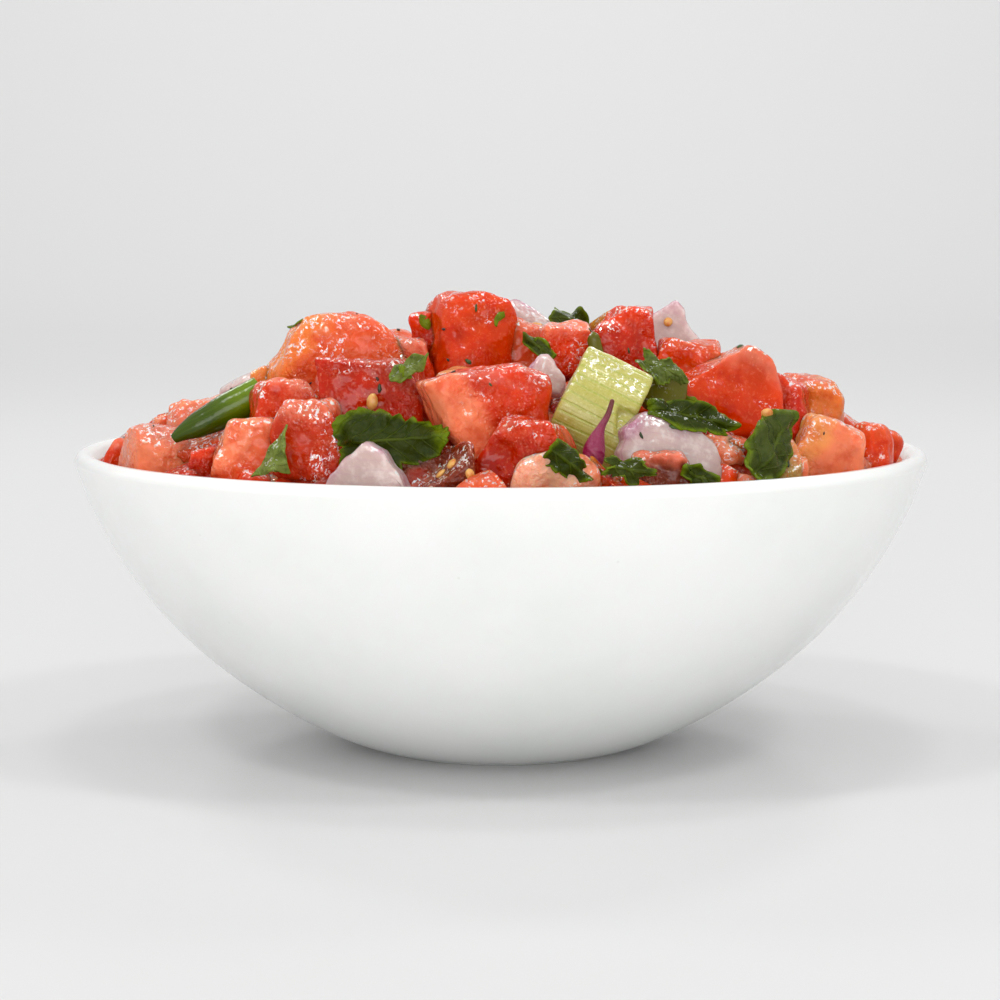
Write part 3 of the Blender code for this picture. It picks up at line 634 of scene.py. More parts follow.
class Finish:
    """A procedural material, and the nodes that make it."""

    def __init__(self, name):
        self.material = bpy.data.materials.new(name)
        self.material.use_nodes = True
        self.tree = self.material.node_tree
        self.shader = self.tree.nodes["Principled BSDF"]

    def node(self, kind, settings=None, inputs=None, output=0):
        """Adds a node: its settings first, then the values or links of its sockets."""
        node = self.tree.nodes.new(kind)
        for key, value in (settings or {}).items():
            if key == "stops":
                self.set_stops(node.color_ramp, value)
            else:
                setattr(node, key, value)
        for key, value in (inputs or {}).items():
            self.feed(node.inputs[key], value)
        return Wire(self, node.outputs[output])

    def feed(self, socket, value):
        if isinstance(value, Wire):
            self.tree.links.new(value.socket, socket)
        elif isinstance(value, (tuple, list)) and len(value) == 3 and socket.type == "RGBA":
            socket.default_value = (*value, 1)
        else:
            socket.default_value = value

    def set_stops(self, color_ramp, stops):
        while len(color_ramp.elements) < len(stops):
            color_ramp.elements.new(0.5)
        for element, (position, colour) in zip(color_ramp.elements, stops):
            element.position = position
            element.color = (*colour, 1)

    def set(self, **sockets):
        """Sets the shader's own sockets; an underscore stands for a space."""
        for key, value in sockets.items():
            self.feed(self.shader.inputs[key.replace("_", " ")], value)

    def here(self, stretch=(1, 1, 1), turn=(0, 0, 0)):
        """The Object coordinates, in millimetres."""
        place = self.node("ShaderNodeTexCoord", output=3)
        scale = tuple(1000 * s for s in stretch)
        return self.node("ShaderNodeMapping", {}, {0: place, 2: turn, 3: scale})

    def stored(self, name, output=1):
        """An attribute of the mesh: output 0 is its colour, 1 its vector and 2 its number."""
        return self.node("ShaderNodeAttribute", {"attribute_name": name}, {}, output)

    def parts(self, vector):
        """The three parts of a vector."""
        node = self.tree.nodes.new("ShaderNodeSeparateXYZ")
        self.tree.links.new(vector.socket, node.inputs[0])
        return [Wire(self, output) for output in node.outputs]

    def noise(self, where, scale, detail=3.0, roughness=0.55, distortion=0.0):
        inputs = {0: where, 2: scale, 3: detail, 4: roughness, "Distortion": distortion}
        return self.node("ShaderNodeTexNoise", {}, inputs)

    def cells(self, where, scale, feature="F1", output=0):
        return self.node("ShaderNodeTexVoronoi", {"feature": feature}, {0: where, 2: scale}, output)

    def between(self, value, low, high):
        """0 below low, 1 above high, smooth between."""
        inputs = {0: value, 1: low, 2: high}
        settings = {"interpolation_type": "SMOOTHSTEP"}
        return self.node("ShaderNodeMapRange", settings, inputs)

    def mix(self, share, one, two, blend="MIX"):
        """A colour part of the way from one to two."""
        settings = {"data_type": "RGBA", "blend_type": blend}
        return self.node("ShaderNodeMix", settings, {0: share, 6: one, 7: two}, 2)

    def glints(self, share):
        """Where squiggles of painted shine lie: on level lines of a noise, in clusters, mostly on
        top.
        """
        place = self.here()
        level = self.noise(place, 0.9, 2, 0.5, 0.9) - 0.5
        line = self.between(abs(level), 0.06, 0.02)
        broken = self.between(self.noise(place, 1.3, 1), 0.48, 0.54)
        lean = 0.44 * self.stored("top", 2) + 0.16 * self.stored("chance", 2)
        cluster = self.between(self.noise(place, 0.22, 2) + lean, 1.02 - share, 1.2 - share)
        return line * broken * cluster

    def set_painted_glints(self, share, colour, tint, strength, metal):
        """Sets the colour, and a pale tint as painted highlights where squiggles of wet shine lie."""
        shine = self.glints(share)
        self.set(Base_Color=self.mix(shine * strength, colour, tint), Metallic=shine * metal)

    def set_depth(self, weight, scale, radius=(1.0, 0.2, 0.1)):
        """Sets how much light passes through, and how far in metres, for red, green and blue."""
        self.set(Subsurface_Weight=weight, Subsurface_Scale=scale, Subsurface_Radius=radius)

    def bumps(self, height, distance, strength=1.0, over=None):
        """A normal from a height of 0 to 1 that stands for a distance in millimetres."""
        inputs = {"Height": height, "Distance": distance * MM, "Strength": strength}
        if over:
            inputs["Normal"] = over
        return self.node("ShaderNodeBump", {}, inputs)


def outer_wall(share):
    """A point of the bowl's outer side, for share 0 at the foot to 1 at the lip."""
    radius = WALL_START + (BOWL_RADIUS - LIP_BEAD - WALL_START) * share
    radius -= LIP_DRAW * ramp(share, 0.965, 1.0)
    rise = (1 - GENTLE_SHARE) * share**STEEP_POWER + GENTLE_SHARE * share**GENTLE_POWER
    return radius, (BOWL_HEIGHT - LIP_ROUNDING) * rise


def inner_wall(share, gap=0.0):
    """A point of the bowl's inner side, or of a surface that keeps a gap to it."""
    low = outer_wall(max(share - 0.01, 0))
    high = outer_wall(min(share + 0.01, 1))
    slope = math.atan2(high[1] - low[1], high[0] - low[0])
    inset = WALL + WALL_EXTRA_AT_FOOT * (1 - share) + gap
    radius, height = outer_wall(share)
    return radius - inset * math.sin(slope), height + inset * math.cos(slope)


WALL_TABLE = [inner_wall(index / 40, WALL_GAP) for index in range(41)]


def room(height):
    """How far from the axis the salsa may reach at a height."""
    for (low_radius, low), (high_radius, high) in zip(WALL_TABLE, WALL_TABLE[1:]):
        if height < high:
            share = max(height - low, 0) / max(high - low, 1e-6)
            return low_radius + (high_radius - low_radius) * share
    return WALL_TABLE[-1][0]


def held_in_bowl(point):
    """The point, moved to the bowl's inside where it lies past it."""
    reach = math.hypot(point.x, point.y)
    limit = room(point.z)
    if reach > limit:
        point.x *= limit / reach
        point.y *= limit / reach
    return point


def dome(radius, peak):
    """The height of a dome, at a distance from the axis."""
    share = min(radius / CORE_EDGE_RADIUS, 1.0)
    return BOWL_HEIGHT + CORE_EDGE + (peak - CORE_EDGE) * (1 - share**DOME_POWER)


def slope_place(bearing, distance, roll, sunk=0.0):
    """The place of a piece that lies on the heap's side, facing outwards."""
    angle = math.radians(bearing)
    fall = dome(distance + 1, HEAP_PEAK) - dome(distance - 1, HEAP_PEAK)
    tilt = math.degrees(math.atan2(2, -fall))
    height = dome(distance, HEAP_PEAK) - BOWL_HEIGHT - sunk
    return Place(
        distance * math.cos(angle), distance * math.sin(angle), height, bearing + 90, tilt, roll
    )


def standing(place):
    """The matrix that puts a piece at its place: rolled, then leant back, then turned."""
    angles = [math.radians(angle) for angle in (-place.lean, -place.roll, place.turn)]
    turn = Euler(angles, "YXZ").to_matrix().to_4x4()
    return Matrix.Translation((place.x, place.y, BOWL_HEIGHT + place.z)) @ turn


def new_mesh():
    """A bmesh that keeps, at each point, its colour, its place in its piece, a chance and its top."""
    bm = bmesh.new()
    bm.verts.layers.float_color.new("tint")
    bm.verts.layers.float_vector.new("cut")
    bm.verts.layers.float.new("chance")
    bm.verts.layers.float.new("top")
    return bm


def mesh_of(name, bm):
    """The mesh of a bmesh that is done."""
    mesh = bpy.data.meshes.new(name)
    bm.to_mesh(mesh)
    bm.free()
    return mesh


def linked(name, data):
    """A new object in the scene."""
    obj = bpy.data.objects.new(name, data)
    bpy.context.scene.collection.objects.link(obj)
    return obj


def finish_piece(name, bm, material, slot, *nodes, painted_shine_share=1.0):
    """Makes the object of a piece that is worked out in millimetres."""
    bmesh.ops.scale(bm, vec=(MM,) * 3, verts=bm.verts)
    bm.normal_update()
    top = bm.verts.layers.float["top"]
    # How much each point faces up: where the painted shine and sheen go, and the painted shade does
    # not.
    for vert in bm.verts:
        up = vert.normal.z
        vert[top] = painted_shine_share * ramp(up, *FACING_UP) * (1 - FLAT_TOP_LESS_SHINE * ramp(up, *FLAT_TOP))
    mesh = mesh_of(name, bm)
    mesh.shade_smooth()
    mesh.materials.append(material)
    obj = linked(name, mesh)
    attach(obj, "root")
    if nodes:
        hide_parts(*nodes)
    return obj


Lying = namedtuple("Lying", "name matrix inverse half bend thickness is_leaf")


def sheet_bend(half, bulge, ribbed=False):
    """How far back a curved layer lies, across and up it."""

    def bend(across, up):
        a, b = across / half[0], up / half[1]
        return bulge * (b * b if ribbed else 0.75 * a * a + 0.25 * b * b)

    return bend


def leaf_bend(half, fold, seed):
    """How far back a leaf lies, along and across it."""

    def bend(along, across):
        a, b = along / half[0], across / half[1]
        return fold * (abs(b) - 0.5 * a * a + 0.5 * math.sin(3 * a + seed))

    return bend


def lying(name, place, size, bend, thickness, is_leaf=False):
    """A flat piece with the matrices that put points in and out of its own frame."""
    matrix = standing(place)
    half = (size[0] / 2, size[-1] / 2)
    return Lying(name, matrix, matrix.inverted(), half, bend, thickness, is_leaf)


def on_slope(table, sunk=0.0):
    """The rows of the pieces on the sides and the back, with their places worked out."""
    return {
        name: (slope_place(bearing, distance, roll, sunk), *rest)
        for name, (bearing, distance, roll, *rest) in table.items()
    }


def all_onions():
    """The row of every onion piece."""
    return {**ONION, **on_slope(BACK_ONION)}


def all_peppers():
    """The row of every pepper piece."""
    return {**PEPPER, **on_slope(BACK_PEPPER)}


def all_celeries():
    """The row of every celery slice."""
    return {**CELERY, **on_slope(BACK_CELERY)}


def all_leaves():
    """The row of every leaf."""
    return {**LEAF, **on_slope(BACK_LEAF, LEAF_SUNK)}


def all_lying():
    """Every flat piece that lies on the dice, in the order in which one gives way to another."""
    rows = []
    for table, ribbed in ((all_onions(), False), (all_peppers(), False), (all_celeries(), True)):
        for name, (place, size, bulge, _) in table.items():
            bend = sheet_bend((size[0] / 2, size[2] / 2), bulge, ribbed)
            rows.append(lying(name, place, size, bend, size[1]))
    for name, (place, size, fold, seed) in all_leaves().items():
        bend = leaf_bend((size[0] / 2, size[1] / 2), fold, seed)
        rows.append(lying(name, place, size, bend, LEAF_ROOM, is_leaf=True))
    return rows


def press(points, middle, flat, gap=0.2, ease=1.6):
    """Moves the points of a dice or of the pulp to behind a flat piece that lies on them."""
    local_middle = flat.inverse @ middle
    depth = local_middle.y - flat.bend(*clipped(local_middle, flat.half))
    if flat.is_leaf and depth < -LEAF_CLEARANCE:
        return
    if depth < 0 and not flat.is_leaf:
        return
    for point in points:
        local = flat.inverse @ point
        if flat.is_leaf:
            a, b = abs(local.x) / flat.half[0], abs(local.z) / flat.half[1]
            outside = (math.hypot(a, b) - 1) * min(flat.half)
        else:
            outside = outside_of(local, flat.half)
        if outside > PRESS_REACH:
            continue
        surface = flat.bend(*clipped(local, flat.half))
        clear = flat.thickness / 2 + gap - ease * max(outside, 0)
        local.y = max(local.y, surface + clear)
        point.xyz = flat.matrix @ local


def outside_of(local, half):
    """How far a point lies past the edge of a flat piece, across and up it."""
    past_side = max(abs(local.x) - half[0] * FLAT_INSIDE, 0)
    past_top = max(abs(local.z) - half[1] * FLAT_INSIDE, 0)
    return math.hypot(past_side, past_top)


def clipped(local, half):
    """A point's place across and up a flat piece, kept on the piece."""
    across = min(max(local.x, -half[0]), half[0])
    up = min(max(local.z, -half[1]), half[1])
    return across, up


def press_round(points, path, gap=0.25):
    """Moves points out of a bent stick."""
    stops = [(Vector((x, y, BOWL_HEIGHT + z)), radius) for (x, y, z), radius in path]
    for point in points:
        for (one, thin), (two, thick) in zip(stops, stops[1:]):
            line = two - one
            share = min(max((point - one).dot(line) / line.length_squared, 0), 1)
            axis = one + line * share
            away = point - axis
            need = thin + (thick - thin) * share + gap
            if away.length < need:
                point.xyz = axis + away * (need / max(away.length, 0.01))


def give_way(points, middle, reach, flats, gap=0.2, ease=1.6):
    """Presses a piece's points by each flat piece near it, and by the sticks."""
    for flat in flats:
        if (flat.matrix.translation - middle).length < reach + max(flat.half):
            press(points, middle, flat, gap, ease)
    for path in (STICK, ONION_TIP):
        press_round(points, path)


def grid_cube(cuts):
    """A cube of size 2 with every side cut into a grid, as a mesh that is copied for each piece."""
    bm = bmesh.new()
    bmesh.ops.create_cube(bm, size=2.0)
    bmesh.ops.subdivide_edges(bm, edges=bm.edges[:], cuts=cuts, use_grid_fill=True)
    return mesh_of("grid_cube", bm)


def uneven_corners(size, taper, seed):
    """The corners of a hand-cut block, by their signs."""
    rng = random.Random(seed)
    bm = bmesh.new()
    bmesh.ops.create_cube(bm, size=1.0)
    corners = {}
    for vert in bm.verts:
        stretch = [1 + rng.uniform(-UNEVENNESS, UNEVENNESS) for _ in range(3)]
        stretch[0] *= 2 * (taper if vert.co.z > 0 else 1) / (1 + taper)
        key = tuple(1 if part > 0 else -1 for part in vert.co)
        corners[key] = Vector(c * s * f for c, s, f in zip(vert.co, size, stretch))
    bm.free()
    return corners


def even_corners(size):
    """The corners of a block with equal ends, by their signs."""
    signs = (-1, 1)
    return {
        (x, y, z): Vector((x * size[0] / 2, y * size[1] / 2, z * size[2] / 2))
        for x in signs
        for y in signs
        for z in signs
    }


def rounded(unit, size, radius):
    """A point of a cube of size 2, moved to a box with round edges, still as shares of its half."""
    half = [max(s / 2, radius) for s in size]
    full = Vector(u * h for u, h in zip(unit, half))
    inner = Vector(min(max(f, radius - h), h - radius) for f, h in zip(full, half))
    away = full - inner
    if away.length > 1e-6:
        full = inner + away.normalized() * radius
    return Vector(f / h for f, h in zip(full, half))


def in_corners(unit, corners):
    """A point between eight corners."""
    point = Vector()
    for signs, corner in corners.items():
        weight = 1.0
        for part, sign in zip(unit, signs):
            weight *= (1 + part * sign) / 2
        point += corner * weight
    return point


def corner_chops(size, seed, number, depth):
    """Slanting cuts across a block's corners and edges, each a direction and a distance."""
    rng = random.Random(seed * 13 + 5)
    cuts = []
    for _ in range(number):
        away = Vector([rng.choice((-1, 1)) * rng.uniform(0.15, 1) for _ in range(3)]).normalized()
        support = sum(abs(part) * extent / 2 for part, extent in zip(away, size))
        cuts.append((away, support * (1 - rng.uniform(0.4, 1) * depth)))
    return cuts


def chopped(point, cuts, ease=0.9):
    """The point, drawn in where it lies past a slanting cut."""
    for away, limit in cuts:
        past = point.dot(away) - limit
        if past > -2:
            point = point - away * 0.5 * (past + math.sqrt(past * past + ease * ease) - 0.12)
    return point


def soft_block(bm, template, size, corners, radius, seed, wave, dish, wave_size=6.0, cuts=()):
    """Adds a block with round edges and waving faces. Returns its new points and their units."""
    rng = random.Random(seed * 7 + 3)
    dishes = [rng.uniform(-1, 0.7) * dish for _ in range(6)]
    offset = Vector((seed * 17.3, seed * 5.1, seed * 9.7))
    start = len(bm.verts)
    bm.from_mesh(template)
    bm.verts.ensure_lookup_table()
    verts = bm.verts[start:]
    units = []
    for vert in verts:
        unit = rounded(vert.co, size, radius)
        units.append(unit)
        point = in_corners(unit, corners)
        normal = unit.normalized()
        for axis in range(3):
            others = [1 - unit[other] ** 2 for other in range(3) if other != axis]
            side = ramp(abs(unit[axis]), 0.75, 1.0)
            sign = 1 if unit[axis] > 0 else -1
            depth = dishes[axis * 2 + (sign > 0)] * max(others[0], 0) * max(others[1], 0)
            point[axis] += sign * side * depth
        if cuts:
            point = chopped(point, cuts)
        swell = noise.noise(point / wave_size + offset)
        swell += 0.45 * noise.noise(point / (wave_size * 0.42) + offset)
        swell += 0.24 * noise.noise(point / (wave_size * 0.19) + offset)
        point += normal * wave * 1.3 * swell
        vert.co = point
    return verts, units


def palette():
    """The tomato's flesh colours by name."""
    look = bpy.context.scene.salsa_tomato
    names = "red deep coral pink pale peach blush cherry orange dark brown tan pulp".split()
    return {name: tuple(getattr(look, name)) for name in names}


def dice(bm, template, name, row, flats):
    """Adds one dice of tomato to the bmesh, pressed by what lies on it."""
    place, size, (taper, rounding), seed, flesh, second, side = row
    look = bpy.context.scene.salsa_tomato
    colours = palette()
    corners = uneven_corners(size, taper, seed)
    radius = min(rounding * look.softness, 0.48) * min(size)
    wave, dish = look.bulge / MM, look.dish / MM
    cuts = corner_chops(size, seed, 6, look.chop)
    for *away, share in CHOPS.get(name, ()):
        away = Vector(away).normalized()
        cuts.append((away, share * sum(abs(a) * extent / 2 for a, extent in zip(away, size))))
    verts, units = soft_block(bm, template, size, corners, radius, seed, wave, dish, 6.0, cuts)
    matrix = standing(place)
    tint, cut, chance = layers_of(bm)
    rng = random.Random(seed * 31)
    luck = 0 if flesh == "cherry" else rng.random()
    side = Vector(side).normalized()
    offset = Vector((seed * 3.1, seed * 7.7, seed * 1.3))
    lighter = rng.uniform(0.88, 1.1)
    for vert, unit in zip(verts, units):
        streak = noise.noise(vert.co / 3.5 + offset) + 0.5 * noise.noise(vert.co / 1.3 + offset)
        share = ramp(unit.dot(side) + 0.28 * streak, 0.38, 0.86)
        colour = blended(colours[flesh], colours[second], share)
        colour = [min(part * lighter * (1 + 0.16 * streak), 1) for part in colour]
        vert[tint] = (*colour, 1)
        vert[cut] = vert.co
        vert[chance] = luck
        vert.co = matrix @ vert.co
    points = [vert.co for vert in verts]
    middle = matrix.translation
    give_way(points, middle, max(size) * 0.75, flats)
    for point in points:
        held_in_bowl(point)
    soften(bm, verts)


def soften(bm, verts):
    """Draws each point half of the way to its neighbours' middle."""
    bmesh.ops.smooth_vert(
        bm, verts=verts, factor=0.5, use_axis_x=True, use_axis_y=True, use_axis_z=True
    )


def layers_of(bm):
    """The layers of a piece's colour, of each point's place in its piece and of its chance."""
    layers = bm.verts.layers
    return layers.float_color["tint"], layers.float_vector["cut"], layers.float["chance"]


def over(place, size, other, wide):
    """Whether two pieces lie over each other, seen from above."""
    reach = FILLER_CLEARANCE * (size[0] + wide[0])
    return math.hypot(place.x - other.x, place.y - other.y) < reach


def filler_rows():
    """Dice on a golden-angle spiral over the heap, left out where a named dice already lies."""
    rng = random.Random(FILLER_SEED)
    rows = []
    for index in range(FILLERS):
        distance = FILLER_REACH * math.sqrt((index + 0.5) / FILLERS)
        bearing = math.degrees(index * GOLDEN_ANGLE) % 360
        size = [rng.uniform(*FILLER_SIZES) for _ in range(3)]
        roll = rng.uniform(-45, 45)
        sunk = rng.uniform(*FILLER_SUNK)
        place = slope_place(bearing, distance, roll, sunk)
        if any(over(place, size, *row[:2]) for row in TOMATO.values()):
            continue
        toppings = [*ONION.values(), *LEAF.values(), *CELERY.values(), PEPPER["pepper_front"]]
        if any(over(place, size, *row[:2]) for row in toppings):
            place = place._replace(z=place.z - FILLER_UNDER_TOPPING)
        place = place._replace(z=place.z - FILLER_LOWER.get(index, 0))
        cut = (rng.uniform(0.65, 1), rng.uniform(0.14, 0.22))
        flesh = FILLER_FLESH[index % len(FILLER_FLESH)]
        side = Vector((math.sin(index * 2.4), -0.9, math.cos(index * 1.7)))
        rows.append((place, size, cut, 100 + index, *flesh, side))
    return rows


def tomato_finish():
    """Wet tomato flesh: the colour of its piece, fine fibres, pale grains, and painted shade, sheen
    and shine.
    """
    look = bpy.context.scene.salsa_tomato
    finish = Finish("tomato_flesh")
    place = finish.here()
    tint = finish.stored("tint", 0)
    cloud = finish.noise(place, 0.32, 4, 0.6)
    fibre = finish.noise(finish.stored("cut"), 1.5, 5, 0.62, 0.6)
    light = finish.mix(finish.between(fibre, 0.5, 0.72) * 0.22, tint, paint(240, 150, 104))
    deep = finish.mix(finish.between(cloud, 0.48, 0.7) * 0.8, light, (0.86, 0.5, 0.36), "MULTIPLY")
    # Painted shade: each dice darker towards its bottom, except where it faces up.
    _, _, above = finish.parts(finish.stored("cut"))
    low = finish.between(above, 3.0, -6.0) * finish.between(finish.stored("top", 2), 0.9, 0.2)
    deep = finish.mix(low * 0.75, deep, (0.86, 0.6, 0.45), "MULTIPLY")
    skin = 0.45 + 0.55 * finish.between(finish.stored("chance", 2), 0.0, 0.1)
    # Painted sheen: a pale haze on faces that face up, less on the cherry's skin.
    painted_top_sheen = finish.between(finish.stored("top", 2), 0.3, 1.0) * finish.between(cloud, 0.36, 0.56)
    deep = finish.mix(painted_top_sheen * (0.26 * skin - 0.1), deep, paint(240, 178, 160))
    grain = finish.between(finish.cells(place, 1.5), 0.3, 0.12)
    patch = finish.between(finish.noise(place, 0.22, 2), 0.48, 0.66)
    grains = finish.mix(grain * patch * 0.35, deep, paint(244, 178, 144))
    # Painted highlights: pale squiggles of wet shine, also partly metallic.
    finish.set_painted_glints(0.3, grains, (1.0, 0.95, 0.92), 0.92, 0.45)
    ripple = finish.noise(place, 0.62, 1.5, 0.45, 0.5)
    wrinkle = finish.noise(place, 1.5, 1, 0.5, 0.8)
    wet = skin * finish.between(finish.noise(place, 0.17, 2), 0.4, 0.58)
    first = finish.bumps(ripple * (0.3 * skin + 0.6 * wet), 0.62, 1.0)
    normal = finish.bumps(wrinkle * wet, 0.34, 1.0, first)
    finish.set(
        Normal=normal,
        Roughness=look.roughness + 0.12 * (cloud - 0.5) - 0.03 * wet,
        Specular_IOR_Level=0.24,
    )
    finish.set_depth(0.85, 0.003, (1.0, 0.26, 0.12))
    return finish.material


def material_of(name, maker):
    """The material of that name, made once."""
    return bpy.data.materials.get(name) or maker()


def join_dice(piece, rows, cuts, *nodes):
    """One piece of many dice."""
    template = grid_cube(cuts)
    flats = all_lying()
    bm = new_mesh()
    for name, row in rows.items():
        dice(bm, template, name, row, flats)
    bpy.data.meshes.remove(template)
    bmesh.ops.recalc_face_normals(bm, faces=bm.faces[:])
    material = material_of("tomato_flesh", tomato_finish)
    return finish_piece(piece, bm, material, "tomato", *nodes)


def turned(profile, steps):
    """A bmesh that is a profile of radii and heights turned round the bowl's axis."""
    bm = new_mesh()
    verts = [bm.verts.new((radius, 0, height)) for radius, height in profile]
    edges = [bm.edges.new(pair) for pair in zip(verts, verts[1:])]
    bmesh.ops.spin(
        bm,
        geom=[*verts, *edges],
        cent=(0, 0, 0),
        axis=(0, 0, 1),
        angle=2 * math.pi,
        steps=steps,
        use_merge=True,
    )
    bmesh.ops.remove_doubles(bm, verts=bm.verts, dist=SAME_POINT)
    bmesh.ops.recalc_face_normals(bm, faces=bm.faces[:])
    return bm


class SALSA_OT_bowl(bpy.types.Operator):
    """Adds the glazed white bowl with its rounded lip and foot"""

    bl_idname = "salsa.bowl"
    bl_label = "Bowl"

    def execute(self, context):
        look = context.scene.salsa_bowl
        shares = [index / WALL_POINTS for index in range(WALL_POINTS + 1)]
        middle = BOWL_RADIUS - LIP_DRAW - LIP_ROUNDING
        height = BOWL_HEIGHT - LIP_ROUNDING
        turns = [math.radians(angle) for angle in LIP_ANGLES]
        lip = [
            (middle + LIP_ROUNDING * math.cos(turn), height + LIP_ROUNDING * math.sin(turn))
            for turn in turns
        ]
        inside = [inner_wall(share) for share in shares]
        outside = [outer_wall(s) for s in reversed(shares) if FOOT_SHARE < s < LIP_SHARE]
        foot = [outer_wall(FOOT_SHARE), *FOOT_PROFILE]
        profile = [(0, inside[0][1]), *inside, *lip, *outside, *foot]
        bm = turned(profile, look.turns)
        finish_piece("glazed_bowl", bm, self.glaze(look), "porcelain", "bowl")
        return {"FINISHED"}

    def glaze(self, look):
        finish = Finish("white_glaze")
        place = finish.here()
        cloud = finish.noise(place, 0.05, 3, 0.5)
        thick = finish.between(cloud, 0.35, 0.7)
        body = finish.mix(thick * 0.5, tuple(look.glaze), tuple(look.glaze_shade))
        fleck = finish.between(finish.cells(place, 0.16), 0.05, 0.025) * 0.12
        flecked = finish.mix(fleck, body, paint(170, 160, 150))
        across, back, up = finish.parts(place)
        right_side = finish.between(across, 52.0, 62.0) * finish.between(up, 44.5, 47.0)
        smear = finish.between(finish.noise(finish.here((1, 1, 2.2)), 0.34, 4, 0.6, 0.8), 0.5, 0.68)
        reach = (across * across + back * back) ** 0.5
        inner = finish.between(reach, 72.4, 71.2)
        juicy = right_side * smear * inner
        finish.set(
            Base_Color=finish.mix(juicy * 0.75, flecked, tuple(look.juice)),
            Roughness=look.roughness + 0.08 * cloud,
            Normal=finish.bumps(finish.noise(place, 0.09, 2, 0.5), 0.12, 0.25),
            Coat_Weight=0.5,
            Coat_Roughness=0.04,
        )
        finish.set_depth(0.08, 0.002)
        return finish.material


class SALSA_OT_pulp(bpy.types.Operator):
    """Adds the wet pulp that fills the bowl and shows between the dice"""

    bl_idname = "salsa.pulp"
    bl_label = "Pulp"

    def execute(self, context):
        radii = [CORE_EDGE_RADIUS * index / DOME_POINTS for index in range(DOME_POINTS + 1)]
        profile = [(radius, dome(radius, CORE_PEAK)) for radius in radii]
        steps = range(PULP_WALL_POINTS, -1, -1)
        wall = [inner_wall(step / PULP_WALL_POINTS, WALL_GAP + 0.2) for step in steps]
        wall = [(radius, height) for radius, height in wall if height < profile[-1][1] - 1]
        profile += [*wall, (0, wall[-1][1])]
        bm = turned(profile, PULP_TURNS)
        tint, cut, chance = layers_of(bm)
        colours = palette()
        for vert in bm.verts:
            co = vert.co.copy()
            vert[cut] = co
            lump = noise.noise(co / 4.2) + 0.6 * noise.noise(co / 1.9) + 0.25 * noise.noise(co / 0.9)
            vert[tint] = (*blended(colours["pulp"], colours["red"], ramp(lump, -0.2, 0.7)), 1)
            vert[chance] = 0.0
            if co.z > BOWL_HEIGHT + CORE_EDGE - 0.5:
                vert.co.z += 1.5 * lump - 0.7
                held_in_bowl(vert.co)
        points = [vert.co for vert in bm.verts if vert.co.z > BOWL_HEIGHT - 6]
        for flat in all_lying():
            near = [p for p in points if (p - flat.matrix.translation).length < 14]
            press(near, Vector((0, 0, 20)), flat, 0.3)
        material = material_of("tomato_flesh", tomato_finish)
        finish_piece("pulp", bm, material, "tomato", "salsa_heap", painted_shine_share=PULP_PAINTED_SHINE)
        return {"FINISHED"}


class SALSA_OT_dice(bpy.types.Operator):
    """Adds the chopped tomato: the dice at the front and those on the other sides"""

    bl_idname = "salsa.dice"
    bl_label = "Tomato dice"

    def execute(self, context):
        named = {**TOMATO, **SMALL_TOMATO}
        left = {name: row for name, row in named.items() if row[0].x < 4}
        right = {name: row for name, row in named.items() if row[0].x >= 4}
        fillers = {f"filler_{row[3]}": row for row in filler_rows()}
        join_dice("tomato_front_left", left, FRONT_CUTS, "salsa_heap")
        join_dice("tomato_front_right", right, FRONT_CUTS, "salsa_heap")
        join_dice("tomato_around", fillers, BACK_CUTS, "salsa_heap")
        return {"FINISHED"}


def plan_rounding(unit, share=0.16):
    """How much nearer to the middle a flat piece's edge lies towards its corners."""
    corner = abs(unit.x) * abs(unit.z)
    return 1 - share * corner**3


def crest_at(crest, across):
    """How high a piece stands at a place across it, from -1 to 1."""
    place = min(max((across + 1) / 2, 0), 1) * (len(crest) - 1)
    index = min(int(place), len(crest) - 2)
    return crest[index] + (crest[index + 1] - crest[index]) * ramp(place - index, 0, 1)


def curved_piece(name, row, cuts, flats, colour_at, material, slot, ribbed=False, edge_wave=0.07):
    """A thick curved piece with round edges, pressed by the pieces that lie before it."""
    place, size, bulge, seed = row
    template = grid_cube(cuts)
    bm = new_mesh()
    corners = even_corners(size)
    radius = 0.55 if ribbed else min(0.42 * size[1], 1.3)
    verts, units = soft_block(bm, template, size, corners, radius, seed, 0.2, 0.1, 7.0)
    bpy.data.meshes.remove(template)
    bend = sheet_bend((size[0] / 2, size[2] / 2), bulge, ribbed)
    matrix = standing(place)
    tint, cut, chance = layers_of(bm)
    offset = Vector((seed * 2.3, seed * 1.9, seed * 4.1))
    for vert, unit in zip(verts, units):
        shrink = plan_rounding(unit) if not ribbed else 1
        ragged = 1 - edge_wave * (0.6 + noise.noise(Vector((unit.x, 0, unit.z)) * 2.2 + offset))
        ragged -= 0.4 * edge_wave * noise.noise(Vector((unit.x, 0, unit.z)) * 7 + offset)
        vert.co.x *= shrink * ragged
        vert.co.z *= shrink * ragged
        if name in CREST:
            low = -size[2] / 2
            vert.co.z = low + (vert.co.z - low) * crest_at(CREST[name], unit.x)
        vert[cut] = vert.co
        vert[chance] = (seed * 0.37) % 1
        vert[tint] = (*colour_at(unit, vert.co, offset), 1)
        vert.co.y += bend(vert.co.x, vert.co.z)
        vert.co = matrix @ vert.co
    points = [vert.co for vert in verts]
    give_way_flat(points, matrix.translation, max(size) * 0.6, flats)
    for point in points:
        held_in_bowl(point)
    soften(bm, verts)
    bmesh.ops.recalc_face_normals(bm, faces=bm.faces[:])
    return finish_piece(name + "_piece", bm, material, slot, name)


def give_way_flat(points, middle, reach, flats, only_behind=True):
    """Presses a flat piece's points by the pieces made before it."""
    for flat in flats:
        if (flat.matrix.translation - middle).length < reach + max(flat.half):
            press_solid(points, middle, flat, only_behind)


